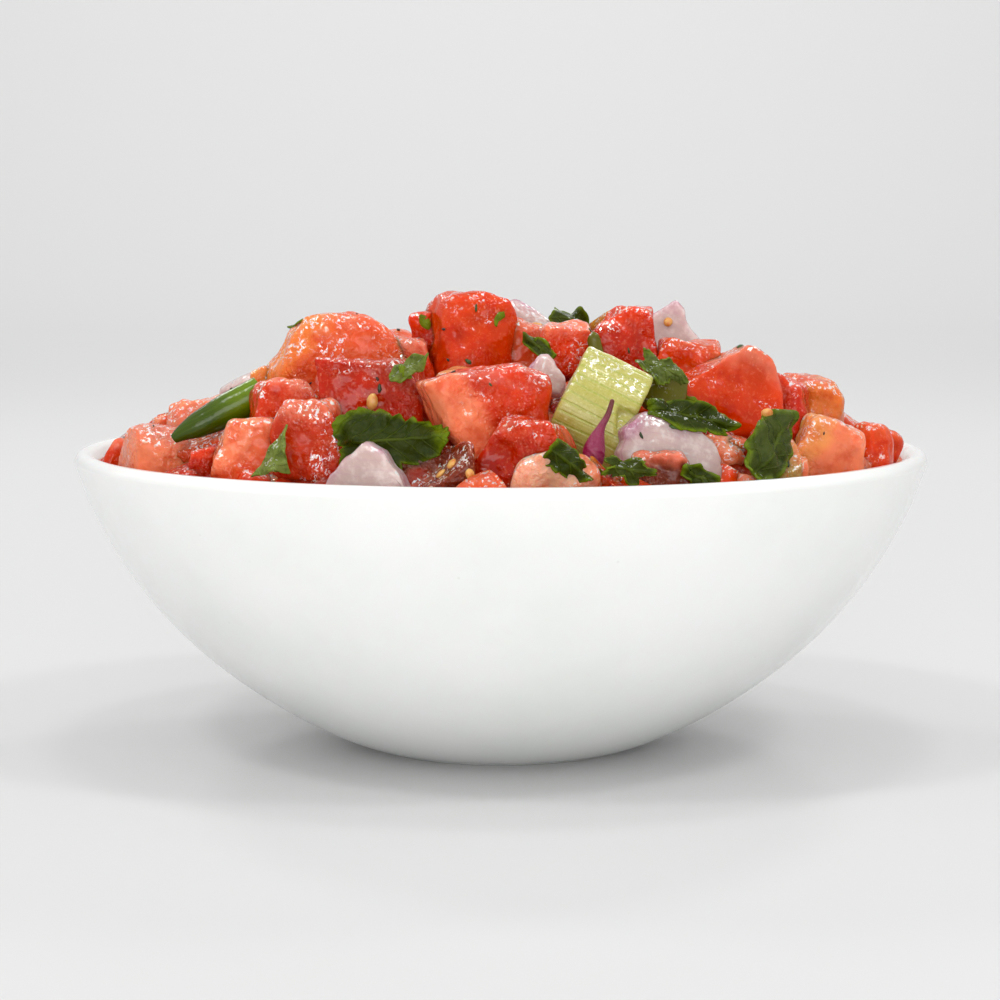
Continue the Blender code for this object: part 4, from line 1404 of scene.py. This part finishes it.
def press_solid(points, middle, flat, only_behind, gap=0.2):
    """Moves points out of a flat piece, all to the side that their own piece lies on."""
    local_middle = flat.inverse @ middle
    behind = local_middle.y > flat.bend(*clipped(local_middle, flat.half))
    if only_behind and not behind:
        return
    for point in points:
        local = flat.inverse @ point
        outside = outside_of(local, flat.half)
        if outside > SOLID_PRESS_REACH:
            continue
        surface = flat.bend(*clipped(local, flat.half))
        clear = flat.thickness / 2 + gap - SOLID_PRESS_EASE * outside
        if behind:
            local.y = max(local.y, surface + clear)
        else:
            local.y = min(local.y, surface - clear)
        point.xyz = flat.matrix @ local


def before(flats, name):
    """The flat pieces that come before one of them."""
    names = [flat.name for flat in flats]
    return flats[: names.index(name)]


class SALSA_OT_onions(bpy.types.Operator):
    """Adds the pieces of red onion"""

    bl_idname = "salsa.onions"
    bl_label = "Onion pieces"

    def execute(self, context):
        look = context.scene.salsa_onion
        material = self.flesh(look)
        flats = all_lying()
        flesh, edge = tuple(look.flesh), tuple(look.edge)

        def colour_at(unit, point, offset):
            cloud = noise.noise(point / 5 + offset)
            rim = ramp(max(abs(unit.x), abs(unit.z)) + 0.22 * cloud, 0.86, 1.05)
            upper = ramp(unit.z - 0.6 * unit.x + cloud, 0.5, 1.7)
            return blended(flesh, edge, 0.3 * rim + 0.42 * upper)

        for name, row in all_onions().items():
            earlier = before(flats, name)
            curved_piece(name, row, ONION_CUTS, earlier, colour_at, material, "onion")
        return {"FINISHED"}

    def flesh(self, look):
        finish = Finish("onion_flesh")
        cut = finish.stored("cut")
        _, deep, up = finish.parts(cut)
        wander = finish.noise(cut, 0.35, 3, 0.5)
        lines = ((up + 2.2 * wander) * 5.2).sine()
        veins = finish.between(lines, 0.55, 1.0)
        tint = finish.stored("tint", 0)
        cloud = finish.noise(cut, 0.5, 4, 0.6)
        milky = finish.mix(finish.between(cloud, 0.45, 0.7) * 0.35, tint, paint(236, 228, 222))
        lined = finish.mix(veins * 0.22, milky, tuple(look.vein))
        layer = (deep * 4.6 + 1.0).sine()
        layered = finish.mix(finish.between(layer, 0.75, 1.0) * 0.3, lined, tuple(look.edge))
        normal = finish.bumps(lines * 0.05 + cloud, 0.24, 0.7)
        # Painted highlights: pale squiggles of wet shine, also partly metallic.
        finish.set_painted_glints(0.32, layered, (1.0, 0.98, 0.97), 0.8, 0.6)
        finish.set(
            Roughness=0.1 + 0.14 * cloud,
            Normal=normal,
        )
        finish.set_depth(1.0, 0.006, (1.0, 0.8, 0.8))
        return finish.material


def along(stops, share):
    """A point and radius on a smooth path through the stops."""
    spans = len(stops) - 1
    index = min(int(share * spans), spans - 1)
    t = share * spans - index
    picks = [stops[min(max(index + step, 0), spans)] for step in (-1, 0, 1, 2)]
    places = [Vector((x, y, BOWL_HEIGHT + z)) for (x, y, z), _ in picks]
    radii = [radius for _, radius in picks]

    def curve(p0, p1, p2, p3):
        a = 2 * p1
        b = p2 - p0
        c = 2 * p0 - 5 * p1 + 4 * p2 - p3
        d = 3 * p1 - p0 - 3 * p2 + p3
        return 0.5 * (a + b * t + c * t * t + d * t * t * t)

    return curve(*places), curve(*radii)


def bent_stick(stops, sides=32, cuts=47):
    """A bent round stick with softly closed ends, and each point's share along and turn round it."""
    bm = new_mesh()
    bmesh.ops.create_cone(
        bm, cap_ends=True, cap_tris=False, segments=sides, radius1=1, radius2=1, depth=2
    )
    lengthwise = [edge for edge in bm.edges if abs(edge.verts[0].co.z - edge.verts[1].co.z) > 1]
    bmesh.ops.subdivide_edges(bm, edges=lengthwise, cuts=cuts)
    rows = []
    for vert in bm.verts:
        share = (vert.co.z + 1) / 2
        angle = math.atan2(vert.co.y, vert.co.x)
        middle, radius = along(stops, share)
        ahead, _ = along(stops, min(share + 0.01, 1))
        behind, _ = along(stops, max(share - 0.01, 0))
        line = (ahead - behind).normalized()
        side = line.cross(Vector((0, 0, 1))).normalized()
        upright = side.cross(line)
        close = math.sqrt(max(1 - max(1 - min(share, 1 - share) / 0.03, 0) ** 2, 0.0))
        rows.append((vert, share, angle, radius))
        out = side * math.cos(angle) + upright * math.sin(angle)
        vert.co = middle + out * radius * (0.45 + 0.55 * close)
    return bm, rows


class SALSA_OT_tip(bpy.types.Operator):
    """Adds the purple onion tip with its dry tail"""

    bl_idname = "salsa.tip"
    bl_label = "Purple tip"

    def execute(self, context):
        look = context.scene.salsa_onion
        bm, rows = bent_stick(ONION_TIP)
        tint, cut, chance = layers_of(bm)
        for vert, share, angle, radius in rows:
            vert.co += (vert.co - along(ONION_TIP, share)[0]) * 0.04 * math.sin(5 * angle + 3 * share)
            vert[cut] = (angle, share * 14, radius)
            vert[chance] = share
            vert[tint] = (*blended(tuple(look.tip), tuple(look.tail), ramp(share, 0.55, 0.95)), 1)
        bmesh.ops.recalc_face_normals(bm, faces=bm.faces[:])
        finish = Finish("purple_onion_skin")
        streak = finish.noise(finish.stored("cut"), 1.6, 4, 0.6, 0.8)
        light = finish.mix(
            finish.between(streak, 0.55, 0.75) * 0.3, finish.stored("tint", 0), paint(190, 90, 140)
        )
        finish.set(
            Base_Color=light,
            Roughness=0.22 + 0.2 * streak,
            Normal=finish.bumps(streak, 0.2, 0.8),
        )
        finish.set_depth(0.2, 0.0015, (1.0, 0.3, 0.5))
        finish_piece("onion_tip_piece", bm, finish.material, "purple_onion", "onion_tip")
        return {"FINISHED"}


class SALSA_OT_stick(bpy.types.Operator):
    """Adds the glossy green stick of spring onion"""

    bl_idname = "salsa.stick"
    bl_label = "Spring onion"

    def execute(self, context):
        look = context.scene.salsa_greens
        bm, rows = bent_stick(STICK)
        tint, cut, chance = layers_of(bm)
        for vert, share, angle, radius in rows:
            swell = 0.03 * math.sin(7 * share + 2 * angle) + 0.02 * math.sin(19 * share)
            vert.co += (vert.co - along(STICK, share)[0]) * swell
            vert[cut] = (angle * radius, share * 18, radius)
            vert[chance] = share
            # Painted shade: the underside darker, towards half the green.
            under = ramp(-math.sin(angle), -0.1, 0.9)
            colour = blended(tuple(look.stick), tuple(look.stick_end), ramp(share, 0.55, 1.0) * 0.8)
            vert[tint] = (*blended(colour, tuple(c * 0.5 for c in look.stick), under * 0.6), 1)
        bmesh.ops.recalc_face_normals(bm, faces=bm.faces[:])
        finish = Finish("spring_onion_green")
        around, run, _ = finish.parts(finish.stored("cut"))
        fibre = (around * 9.0).sine()
        cloud = finish.noise(finish.here(), 0.5, 4, 0.6)
        tint = finish.stored("tint", 0)
        lined = finish.mix(finish.between(fibre, 0.2, 1.0) * 0.04, tint, paint(130, 150, 30))
        clouded = finish.mix(finish.between(cloud, 0.5, 0.75) * 0.4, lined, paint(24, 62, 8))
        finish.set(
            Base_Color=clouded,
            Specular_IOR_Level=0.3,
            Roughness=0.08 + 0.12 * cloud,
            Normal=finish.bumps(fibre * 0.02 + cloud + 0.01 * run, 0.16, 0.7),
        )
        finish.set_depth(0.15, 0.0015, (0.3, 1.0, 0.1))
        finish_piece("spring_onion_stick", bm, finish.material, "spring_onion", "green_stick")
        return {"FINISHED"}


class SALSA_OT_celery(bpy.types.Operator):
    """Adds the ribbed slices of celery"""

    bl_idname = "salsa.celery"
    bl_label = "Celery"

    def execute(self, context):
        look = context.scene.salsa_greens
        flats = all_lying()
        material = self.flesh(look)
        body, shade = tuple(look.celery), tuple(look.celery_painted_shade)

        def colour_at(unit, point, offset):
            cloud = noise.noise(point / 6 + offset)
            # Painted shade: tan towards the lower left side.
            low = ramp(-unit.z - 0.55 * unit.x + 0.4 * cloud, 0.35, 1.3)
            return blended(body, shade, low)

        for name, row in all_celeries().items():
            earlier = before(flats, name)
            curved_piece(
                name, row, CELERY_CUTS, earlier, colour_at, material, "celery", True, CELERY_WAVE
            )
        return {"FINISHED"}

    def flesh(self, look):
        finish = Finish("celery_flesh")
        across, deep, up = finish.parts(finish.stored("cut"))
        wander = finish.noise(finish.stored("cut"), 0.25, 2, 0.5)
        lines = finish.between(((up + 0.7 * wander) * 3.9).sine(), 0.6, 1.0)
        fine = (up * 12.9 + across * 0.2).sine()
        cells = finish.noise(finish.here(), 1.6, 4, 0.6)
        skin = finish.between(deep, 0.5, -1.2)
        ribbed = finish.mix(lines * 0.5 * skin, finish.stored("tint", 0), tuple(look.celery_rib))
        pale = finish.mix(finish.between(cells, 0.55, 0.75) * 0.4, ribbed, paint(236, 236, 182))
        normal = finish.bumps(0.5 - 0.5 * lines + fine * 0.04, 0.14, 0.8)
        # Painted highlights: pale squiggles of wet shine, also partly metallic.
        finish.set_painted_glints(0.26, pale, (0.97, 0.97, 0.9), 0.8, 0.6)
        finish.set(
            Roughness=0.2 + 0.16 * cells,
            Normal=finish.bumps(cells, 0.08, 0.6, normal),
        )
        finish.set_depth(0.35, 0.0025, (0.9, 1.0, 0.35))
        return finish.material


class SALSA_OT_peppers(bpy.types.Operator):
    """Adds the pieces of green pepper"""

    bl_idname = "salsa.peppers"
    bl_label = "Green pepper"

    def execute(self, context):
        look = context.scene.salsa_greens
        flats = all_lying()
        material = self.flesh()
        skin, inner = tuple(look.pepper), tuple(look.pepper_light)

        def colour_at(unit, point, offset):
            cloud = noise.noise(point / 3 + offset)
            return blended(skin, inner, ramp(unit.y + 0.5 * cloud, 0.0, 0.9))

        for name, row in all_peppers().items():
            earlier = before(flats, name)
            curved_piece(name, row, PEPPER_CUTS, earlier, colour_at, material, "green_pepper")
        return {"FINISHED"}

    def flesh(self):
        finish = Finish("green_pepper_skin")
        cloud = finish.noise(finish.here(), 0.7, 4, 0.6)
        dark = finish.mix(
            finish.between(cloud, 0.5, 0.75) * 0.45, finish.stored("tint", 0), paint(70, 74, 12)
        )
        # Painted highlights: pale squiggles of wet shine, also partly metallic.
        finish.set_painted_glints(0.24, dark, (0.95, 0.95, 0.85), 0.7, 0.5)
        finish.set(
            Specular_IOR_Level=0.25,
            Roughness=0.12 + 0.16 * cloud,
            Normal=finish.bumps(cloud, 0.18, 0.7),
        )
        finish.set_depth(0.15, 0.0015, (0.8, 1.0, 0.2))
        return finish.material


def leaf_outline(angle, lobes, depth, teeth, seed):
    """How far a leaf's edge lies from its middle, for a direction."""
    if not teeth and depth > 0.5:
        return 1 - depth * abs(math.sin(lobes * (angle - 0.3) / 2)) ** 0.55
    lobe = (0.5 - 0.5 * math.cos(lobes * angle)) ** 1.2
    tooth = (teeth * (angle + 0.12 * math.sin(3 * angle + seed)) / (2 * math.pi) + 0.13 * seed) % 1
    uneven = 0.7 + 0.45 * math.sin(2.3 * angle + seed)
    bite = 0.17 * uneven * (1 - tooth) ** 1.4 if teeth else 0.03 * math.sin(9 * angle + seed)
    return 1 - depth * lobe - bite


class SALSA_OT_leaves(bpy.types.Operator):
    """Adds the coriander leaves"""

    bl_idname = "salsa.leaves"
    bl_label = "Coriander leaves"

    def execute(self, context):
        look = context.scene.salsa_greens
        flats = all_lying()
        material = self.blade()
        for name, row in all_leaves().items():
            self.leaf(name, row, look, before(flats, name), material)
        return {"FINISHED"}

    def leaf(self, name, row, look, earlier, material):
        place, size, fold, seed = row
        lobes, depth, teeth, pale = LEAF_CUT.get(name, LEAF_CUT_ELSE)
        bm = new_mesh()
        bmesh.ops.create_circle(bm, cap_ends=True, cap_tris=True, segments=LEAF_SIDES, radius=1.0)
        hub = min(bm.verts, key=lambda vert: vert.co.length)
        spokes = list(hub.link_edges)
        bmesh.ops.subdivide_edges(bm, edges=spokes, cuts=LEAF_CUTS, use_grid_fill=True)
        half = (size[0] / 2, size[1] / 2)
        bend = leaf_bend(half, fold, seed)
        matrix = standing(place)
        tint, cut, chance = layers_of(bm)
        offset = Vector((seed * 1.7, seed * 2.9, 0))
        body = blended(tuple(look.leaf), tuple(look.leaf_pale), pale)
        rim_colour = blended(tuple(look.leaf_edge), tuple(look.leaf_pale), pale * 0.7)
        for vert in bm.verts:
            angle = math.atan2(vert.co.y, vert.co.x)
            radius = vert.co.length
            edge = leaf_outline(angle, lobes, depth, teeth, seed)
            reach = radius * (1 + (edge - 1) * radius**1.5)
            x = half[0] * reach * math.cos(angle)
            z = half[1] * reach * math.sin(angle)
            crinkle = 1.5 * noise.noise(Vector((x, z, 0)) / 2.4 + offset) * (0.4 + radius)
            crinkle += 0.42 * noise.noise(Vector((x, z, 7)) / 1.0 + offset)
            crinkle += 0.5 * math.sin(5 * angle + seed) * radius**2
            cloud = noise.noise(Vector((x, z, 4)) / 3 + offset)
            vert[cut] = (x, radius, z)
            vert[chance] = (seed * 0.31) % 1
            rim = ramp(radius + 0.16 * cloud, 0.74, 1.0)
            vert[tint] = (*blended(body, rim_colour, 0.85 * rim), 1)
            vert.co = matrix @ Vector((x, bend(x, z) + crinkle, z))
        points = [vert.co for vert in bm.verts]
        give_way_flat(points, matrix.translation, max(half), earlier, only_behind=False)
        for point in points:
            held_in_bowl(point)
        bmesh.ops.recalc_face_normals(bm, faces=bm.faces[:])
        obj = finish_piece(name + "_blade", bm, material, "coriander", name)
        thickness = obj.modifiers.new("thickness", "SOLIDIFY")
        thickness.thickness = LEAF_THICKNESS * MM
        thickness.offset = 0
        return obj

    def blade(self):
        finish = Finish("coriander_leaf")
        run, radius, wide = finish.parts(finish.stored("cut"))
        from_rib = abs(wide)
        cloud = finish.noise(finish.here(), 0.8, 4, 0.62)
        slant = (run - from_rib * 1.1) * 2.3 + 1.6 * cloud
        side_veins = finish.between(slant.sine(), 0.86, 1.0)
        veins = side_veins.larger(finish.between(from_rib, 0.34, 0.1))
        tint = finish.stored("tint", 0)
        dark = finish.mix(finish.between(cloud, 0.45, 0.72) * 0.55, tint, paint(20, 34, 2))
        veined = finish.mix(veins * 0.26 * (1.15 - radius), dark, paint(96, 112, 20))
        relief = finish.bumps(veins * 0.4 + cloud, 0.45, 0.9)
        # Painted highlights: pale squiggles of wet shine, also partly metallic.
        finish.set_painted_glints(0.1, veined, (0.9, 0.95, 0.85), 0.6, 0.4)
        finish.set(
            Specular_IOR_Level=0.12,
            Roughness=0.14 + 0.2 * cloud,
            Normal=finish.bumps(finish.noise(finish.here(), 2.4, 3), 0.1, 0.6, relief),
        )
        finish.set_depth(0.08, 0.0008, (0.4, 1.0, 0.1))
        return finish.material


def carriers():
    """A search tree of the surfaces that small bits lie on."""
    names = ("pulp", "tomato_", "onion_", "celery_", "pepper_", "spring_onion", "leaf_")
    return tree_of(
        [obj for obj in bpy.data.objects if obj.name.startswith(names) and "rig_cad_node" not in obj]
    )


def tree_of(objects):
    """A search tree of the faces of some objects, in millimetres."""
    verts, faces = [], []
    for obj in objects:
        start = len(verts)
        verts.extend(vert.co / MM for vert in obj.data.vertices)
        faces.extend([start + index for index in face.vertices] for face in obj.data.polygons)
    return BVHTree.FromPolygons(verts, faces)


def sight(across, down):
    """Where the front camera's line of sight starts and points, for a place in the picture."""
    x = ((across - PICTURE / 2) / PICTURE + VIEW_SHIFT[0]) * VIEW_SENSOR / VIEW_LENS
    y = ((PICTURE / 2 - down) / PICTURE + VIEW_SHIFT[1]) * VIEW_SENSOR / VIEW_LENS
    turn = Matrix.Rotation(math.pi / 2 - VIEW_FALL, 4, "X")
    away = turn @ Vector((x, y, -1))
    start = Vector(
        (0, -VIEW_DISTANCE * math.cos(VIEW_FALL), VIEW_LEVEL + VIEW_DISTANCE * math.sin(VIEW_FALL))
    )
    return start, away.normalized()


def strewn(tree, number, name, reach=66.0):
    """Points and normals on the heap, strewn evenly over it as seen from above or the sides."""
    rng = random.Random(BITS[name].places)
    hits = []
    while len(hits) < number:
        bearing = rng.uniform(0, 2 * math.pi)
        distance = reach * math.sqrt(rng.random())
        x, y = distance * math.cos(bearing), distance * math.sin(bearing)
        lean = rng.uniform(0, BIT_LEAN)
        away = Vector((-math.cos(bearing) * lean, -math.sin(bearing) * lean, -1)).normalized()
        start = Vector((x, y, dome(distance, HEAP_PEAK))) - away * BIT_START
        place, normal, _, _ = tree.ray_cast(start, away)
        if place and place.z > BOWL_HEIGHT - BIT_LOW and math.hypot(place.x, place.y) < BIT_REACH:
            hits.append((place, normal))
    return hits


def seen(tree, spots):
    """Points and normals where lines of sight through the picture meet the heap."""
    hits = []
    for across, down in spots:
        place, normal, _, _ = tree.ray_cast(*sight(across, down))
        if place and place.z > BOWL_HEIGHT - BIT_LOW:
            hits.append((place, normal))
    return hits


def scatter(name, hits, template, material, slot, *colours):
    """One piece of many small bits that lie on the heap, each a copy of the template."""
    bits = BITS[name]
    rng = random.Random(bits.turns)
    bm = new_mesh()
    tint, cut, chance = layers_of(bm)
    for place, normal in hits:
        start = len(bm.verts)
        bm.from_mesh(template)
        bm.verts.ensure_lookup_table()
        size = rng.uniform(*bits.sizes)
        turn = normal.to_track_quat("Z", "Y").to_matrix().to_4x4()
        spin = Matrix.Rotation(rng.uniform(0, 2 * math.pi), 4, "Z")
        tip = Matrix.Rotation(rng.uniform(-0.3, 0.3), 4, "X")
        luck = rng.random()
        shape = [size * rng.uniform(0.8, 1.2) * part for part in bits.shape]
        colour = colours[int(luck * len(colours))] if colours else (luck, luck, luck)
        scale = Matrix.Diagonal((*shape, 1))
        matrix = Matrix.Translation(place + normal * size * bits.lift) @ turn @ spin @ tip @ scale
        for vert in bm.verts[start:]:
            vert[cut] = vert.co
            vert[chance] = luck
            vert[tint] = (*colour, 1)
            vert.co = held_in_bowl(matrix @ vert.co)
    bpy.data.meshes.remove(template)
    return finish_piece(name, bm, material, slot)


def pebble(subdivisions, unevenness, seed):
    """A small uneven ball, as a mesh that is copied for each bit."""
    rng = random.Random(seed)
    bm = bmesh.new()
    bmesh.ops.create_icosphere(bm, subdivisions=subdivisions, radius=0.5)
    for vert in bm.verts:
        vert.co *= 1 + rng.uniform(-unevenness, unevenness)
    return mesh_of("pebble", bm)


def shred():
    """A curled shred of leaf with pointed ends, as a mesh that is copied for each bit."""
    bm = bmesh.new()
    bmesh.ops.create_grid(bm, x_segments=6, y_segments=2, size=0.5)
    for vert in bm.verts:
        x, y = vert.co.x, vert.co.y
        vert.co = (x, y * (1 - 3.2 * x * x), 0.5 * x * x - 0.35 * y * y + 0.06 * math.sin(9 * x))
    bmesh.ops.solidify(bm, geom=bm.faces[:], thickness=0.05)
    bmesh.ops.recalc_face_normals(bm, faces=bm.faces[:])
    return mesh_of("shred", bm)


def crumb():
    """A small hand-cut bit with round edges, as a mesh that is copied for each bit."""
    corners = uneven_corners((1, 1, 1), 0.8, 4)
    template = grid_cube(2)
    bm = bmesh.new()
    soft_block(bm, template, (1, 1, 1), corners, 0.22, 4, 0.03, 0.0, 1.0)
    bpy.data.meshes.remove(template)
    return mesh_of("crumb", bm)



class SALSA_OT_crumbs(bpy.types.Operator):
    """Adds the small bits of tomato that lie on the pulp between the dice"""

    bl_idname = "salsa.crumbs"
    bl_label = "Tomato bits"

    def execute(self, context):
        colours = palette()
        pulp = tree_of([bpy.data.objects["pulp"]])
        hits = []
        tries = context.scene.salsa_bits.crumbs
        for place, normal in strewn(carriers(), tries, "tomato_bits", BIT_REACH):
            if pulp.find_nearest(place)[3] < PULP_SURFACE:
                hits.append((place, normal))
        material = material_of("tomato_flesh", tomato_finish)
        picks = [colours[name] for name in BIT_FLESH]
        scatter("tomato_bits", hits, crumb(), material, "tomato", *picks)
        return {"FINISHED"}


class SALSA_OT_seeds(bpy.types.Operator):
    """Adds the tomato seeds"""

    bl_idname = "salsa.seeds"
    bl_label = "Seeds"

    def execute(self, context):
        look = context.scene.salsa_bits
        finish = Finish("tomato_seed")
        cloud = finish.noise(finish.here(), 1.2, 3)
        clouded = finish.between(cloud, 0.4, 0.7)
        finish.set(
            Base_Color=finish.mix(clouded, tuple(look.seed), paint(206, 120, 48)),
            Roughness=0.2 + 0.15 * cloud,
            Normal=finish.bumps(cloud, 0.1, 0.5),
        )
        finish.set_depth(0.3, 0.001, (1.0, 0.6, 0.2))
        tree = carriers()
        hits = seen(tree, SEED_SPOTS) + strewn(tree, look.seeds, "seeds")
        scatter("seeds", hits, pebble(2, 0.05, 1), finish.material, "tomato")
        return {"FINISHED"}


class SALSA_OT_specks(bpy.types.Operator):
    """Adds the specks of black pepper"""

    bl_idname = "salsa.specks"
    bl_label = "Pepper specks"

    def execute(self, context):
        look = context.scene.salsa_bits
        finish = Finish("black_pepper")
        cloud = finish.noise(finish.here(), 3.0, 3)
        clouded = finish.between(cloud, 0.4, 0.7)
        finish.set(
            Base_Color=finish.mix(clouded, tuple(look.speck), paint(88, 60, 34)),
            Roughness=0.45 + 0.2 * cloud,
            Normal=finish.bumps(cloud, 0.1, 0.6),
        )
        hits = strewn(carriers(), look.specks, "specks")
        scatter("specks", hits, pebble(1, 0.25, 2), finish.material, "tomato")
        return {"FINISHED"}


class SALSA_OT_herbs(bpy.types.Operator):
    """Adds the crumbs of herb"""

    bl_idname = "salsa.herbs"
    bl_label = "Herb crumbs"

    def execute(self, context):
        look = context.scene.salsa_bits
        finish = Finish("herb_crumb")
        luck = finish.stored("chance", 2)
        cloud = finish.noise(finish.here(), 2.0, 3)
        finish.set(
            Base_Color=finish.mix(luck, tuple(look.herb), paint(30, 44, 12)),
            Roughness=0.35 + 0.2 * cloud,
            Normal=finish.bumps(cloud, 0.15, 0.6),
        )
        tree = carriers()
        hits = strewn(tree, look.herbs, "herb_crumbs")
        scatter("herb_crumbs", hits, pebble(1, 0.3, 5), finish.material, "coriander")
        leafy = bpy.data.materials["coriander_leaf"]
        green = tuple(context.scene.salsa_greens.leaf_edge)
        scatter("herb_bits", seen(tree, HERB_SPOTS), shred(), leafy, "coriander", green)
        return {"FINISHED"}


class SALSA_OT_stage(bpy.types.Operator):
    """Adds the floor, the soft lights and the camera"""

    bl_idname = "salsa.stage"
    bl_label = "Stage"

    def execute(self, context):
        look = context.scene.salsa_stage
        bm = new_mesh()
        bmesh.ops.create_grid(bm, x_segments=1, y_segments=1, size=FLOOR_HALF)
        bmesh.ops.translate(bm, vec=(0, -FLOOR_FORWARD, 0), verts=bm.verts)
        back = [edge for edge in bm.edges if all(vert.co.y > 0 for vert in edge.verts)]
        ends = [vert for edge in back for vert in edge.verts]
        swept = bmesh.ops.spin(
            bm,
            geom=[*back, *ends],
            cent=(0, FLOOR_HALF - FLOOR_FORWARD, SWEEP_RADIUS),
            axis=(1, 0, 0),
            angle=math.pi / 2,
            steps=SWEEP_STEPS,
        )["geom_last"]
        upper = [item for item in swept if isinstance(item, bmesh.types.BMEdge)]
        wall = bmesh.ops.extrude_edge_only(bm, edges=upper)["geom"]
        raised = [item for item in wall if isinstance(item, bmesh.types.BMVert)]
        bmesh.ops.translate(bm, vec=(0, 0, WALL_HEIGHT), verts=raised)
        bmesh.ops.recalc_face_normals(bm, faces=bm.faces[:])
        finish = Finish("floor_paint")
        grain = finish.noise(finish.here(), 0.02, 3)
        finish.set(
            Base_Color=finish.mix(grain * 0.1, tuple(look.floor), paint(210, 210, 210)),
            Roughness=0.55,
        )
        bmesh.ops.scale(bm, vec=(MM,) * 3, verts=bm.verts)
        mesh = mesh_of("floor", bm)
        mesh.shade_smooth()
        mesh.materials.append(finish.material)
        floor = linked("floor", mesh)
        for name, (place, size, power, aim) in LAMPS.items():
            self.lamp(name, place, size, getattr(look, power), aim)
        world = bpy.data.worlds.new("studio")
        world.use_nodes = True
        background = world.node_tree.nodes["Background"]
        background.inputs[0].default_value = (*look.air, 1)
        background.inputs[1].default_value = look.air_strength
        context.scene.world = world
        context.scene.view_settings.view_transform = "Standard"
        camera = bpy.data.cameras.new("front_camera")
        camera.lens = VIEW_LENS
        camera.sensor_width = VIEW_SENSOR
        camera.shift_x, camera.shift_y = VIEW_SHIFT
        obj = linked("front_camera", camera)
        obj.location = sight(PICTURE / 2, PICTURE / 2)[0] * MM
        obj.rotation_euler = (math.pi / 2 - VIEW_FALL, 0, 0)
        context.scene.camera = obj
        return {"FINISHED"}

    def lamp(self, name, place, size, power, target):
        light = bpy.data.lights.new(name, "AREA")
        light.shape = "DISK"
        light.size = size
        light.energy = power
        obj = linked(name, light)
        obj.location = place
        aim = Vector(target) - Vector(place)
        obj.rotation_euler = aim.to_track_quat("-Z", "Y").to_euler()


class SALSA_PT_panel(bpy.types.Panel):
    """Lists the salsa's pieces and their sizes and colours"""

    bl_idname = "SALSA_PT_panel"
    bl_label = "Salsa in a white bowl"
    bl_space_type = "VIEW_3D"
    bl_region_type = "UI"
    bl_category = "Salsa"

    def draw(self, context):
        for name in GROUPS:
            box = self.layout.box()
            box.label(text=name.replace("salsa_", "").capitalize())
            settings = getattr(context.scene, name)
            for key in settings.__annotations__:
                box.prop(settings, key)
        for operator in OPERATORS:
            self.layout.operator(operator.bl_idname)


GROUPS = {
    "salsa_bowl": SALSA_PG_bowl,
    "salsa_tomato": SALSA_PG_tomato,
    "salsa_onion": SALSA_PG_onion,
    "salsa_greens": SALSA_PG_greens,
    "salsa_bits": SALSA_PG_bits,
    "salsa_stage": SALSA_PG_stage,
}
OPERATORS = (
    SALSA_OT_bowl,
    SALSA_OT_pulp,
    SALSA_OT_dice,
    SALSA_OT_onions,
    SALSA_OT_tip,
    SALSA_OT_stick,
    SALSA_OT_celery,
    SALSA_OT_peppers,
    SALSA_OT_leaves,
    SALSA_OT_crumbs,
    SALSA_OT_seeds,
    SALSA_OT_specks,
    SALSA_OT_herbs,
    SALSA_OT_stage,
)


def register():
    for group in (*GROUPS.values(), *OPERATORS, SALSA_PT_panel):
        bpy.utils.register_class(group)
    for name, group in GROUPS.items():
        setattr(bpy.types.Scene, name, bpy.props.PointerProperty(type=group))


def unregister():
    for name in GROUPS:
        delattr(bpy.types.Scene, name)
    for group in (SALSA_PT_panel, *reversed(OPERATORS), *reversed(GROUPS.values())):
        bpy.utils.unregister_class(group)


def main():
    register()
    for operator in OPERATORS:
        family, name = operator.bl_idname.split(".")
        getattr(getattr(bpy.ops, family), name)()


if __name__ == "__main__":
    main()
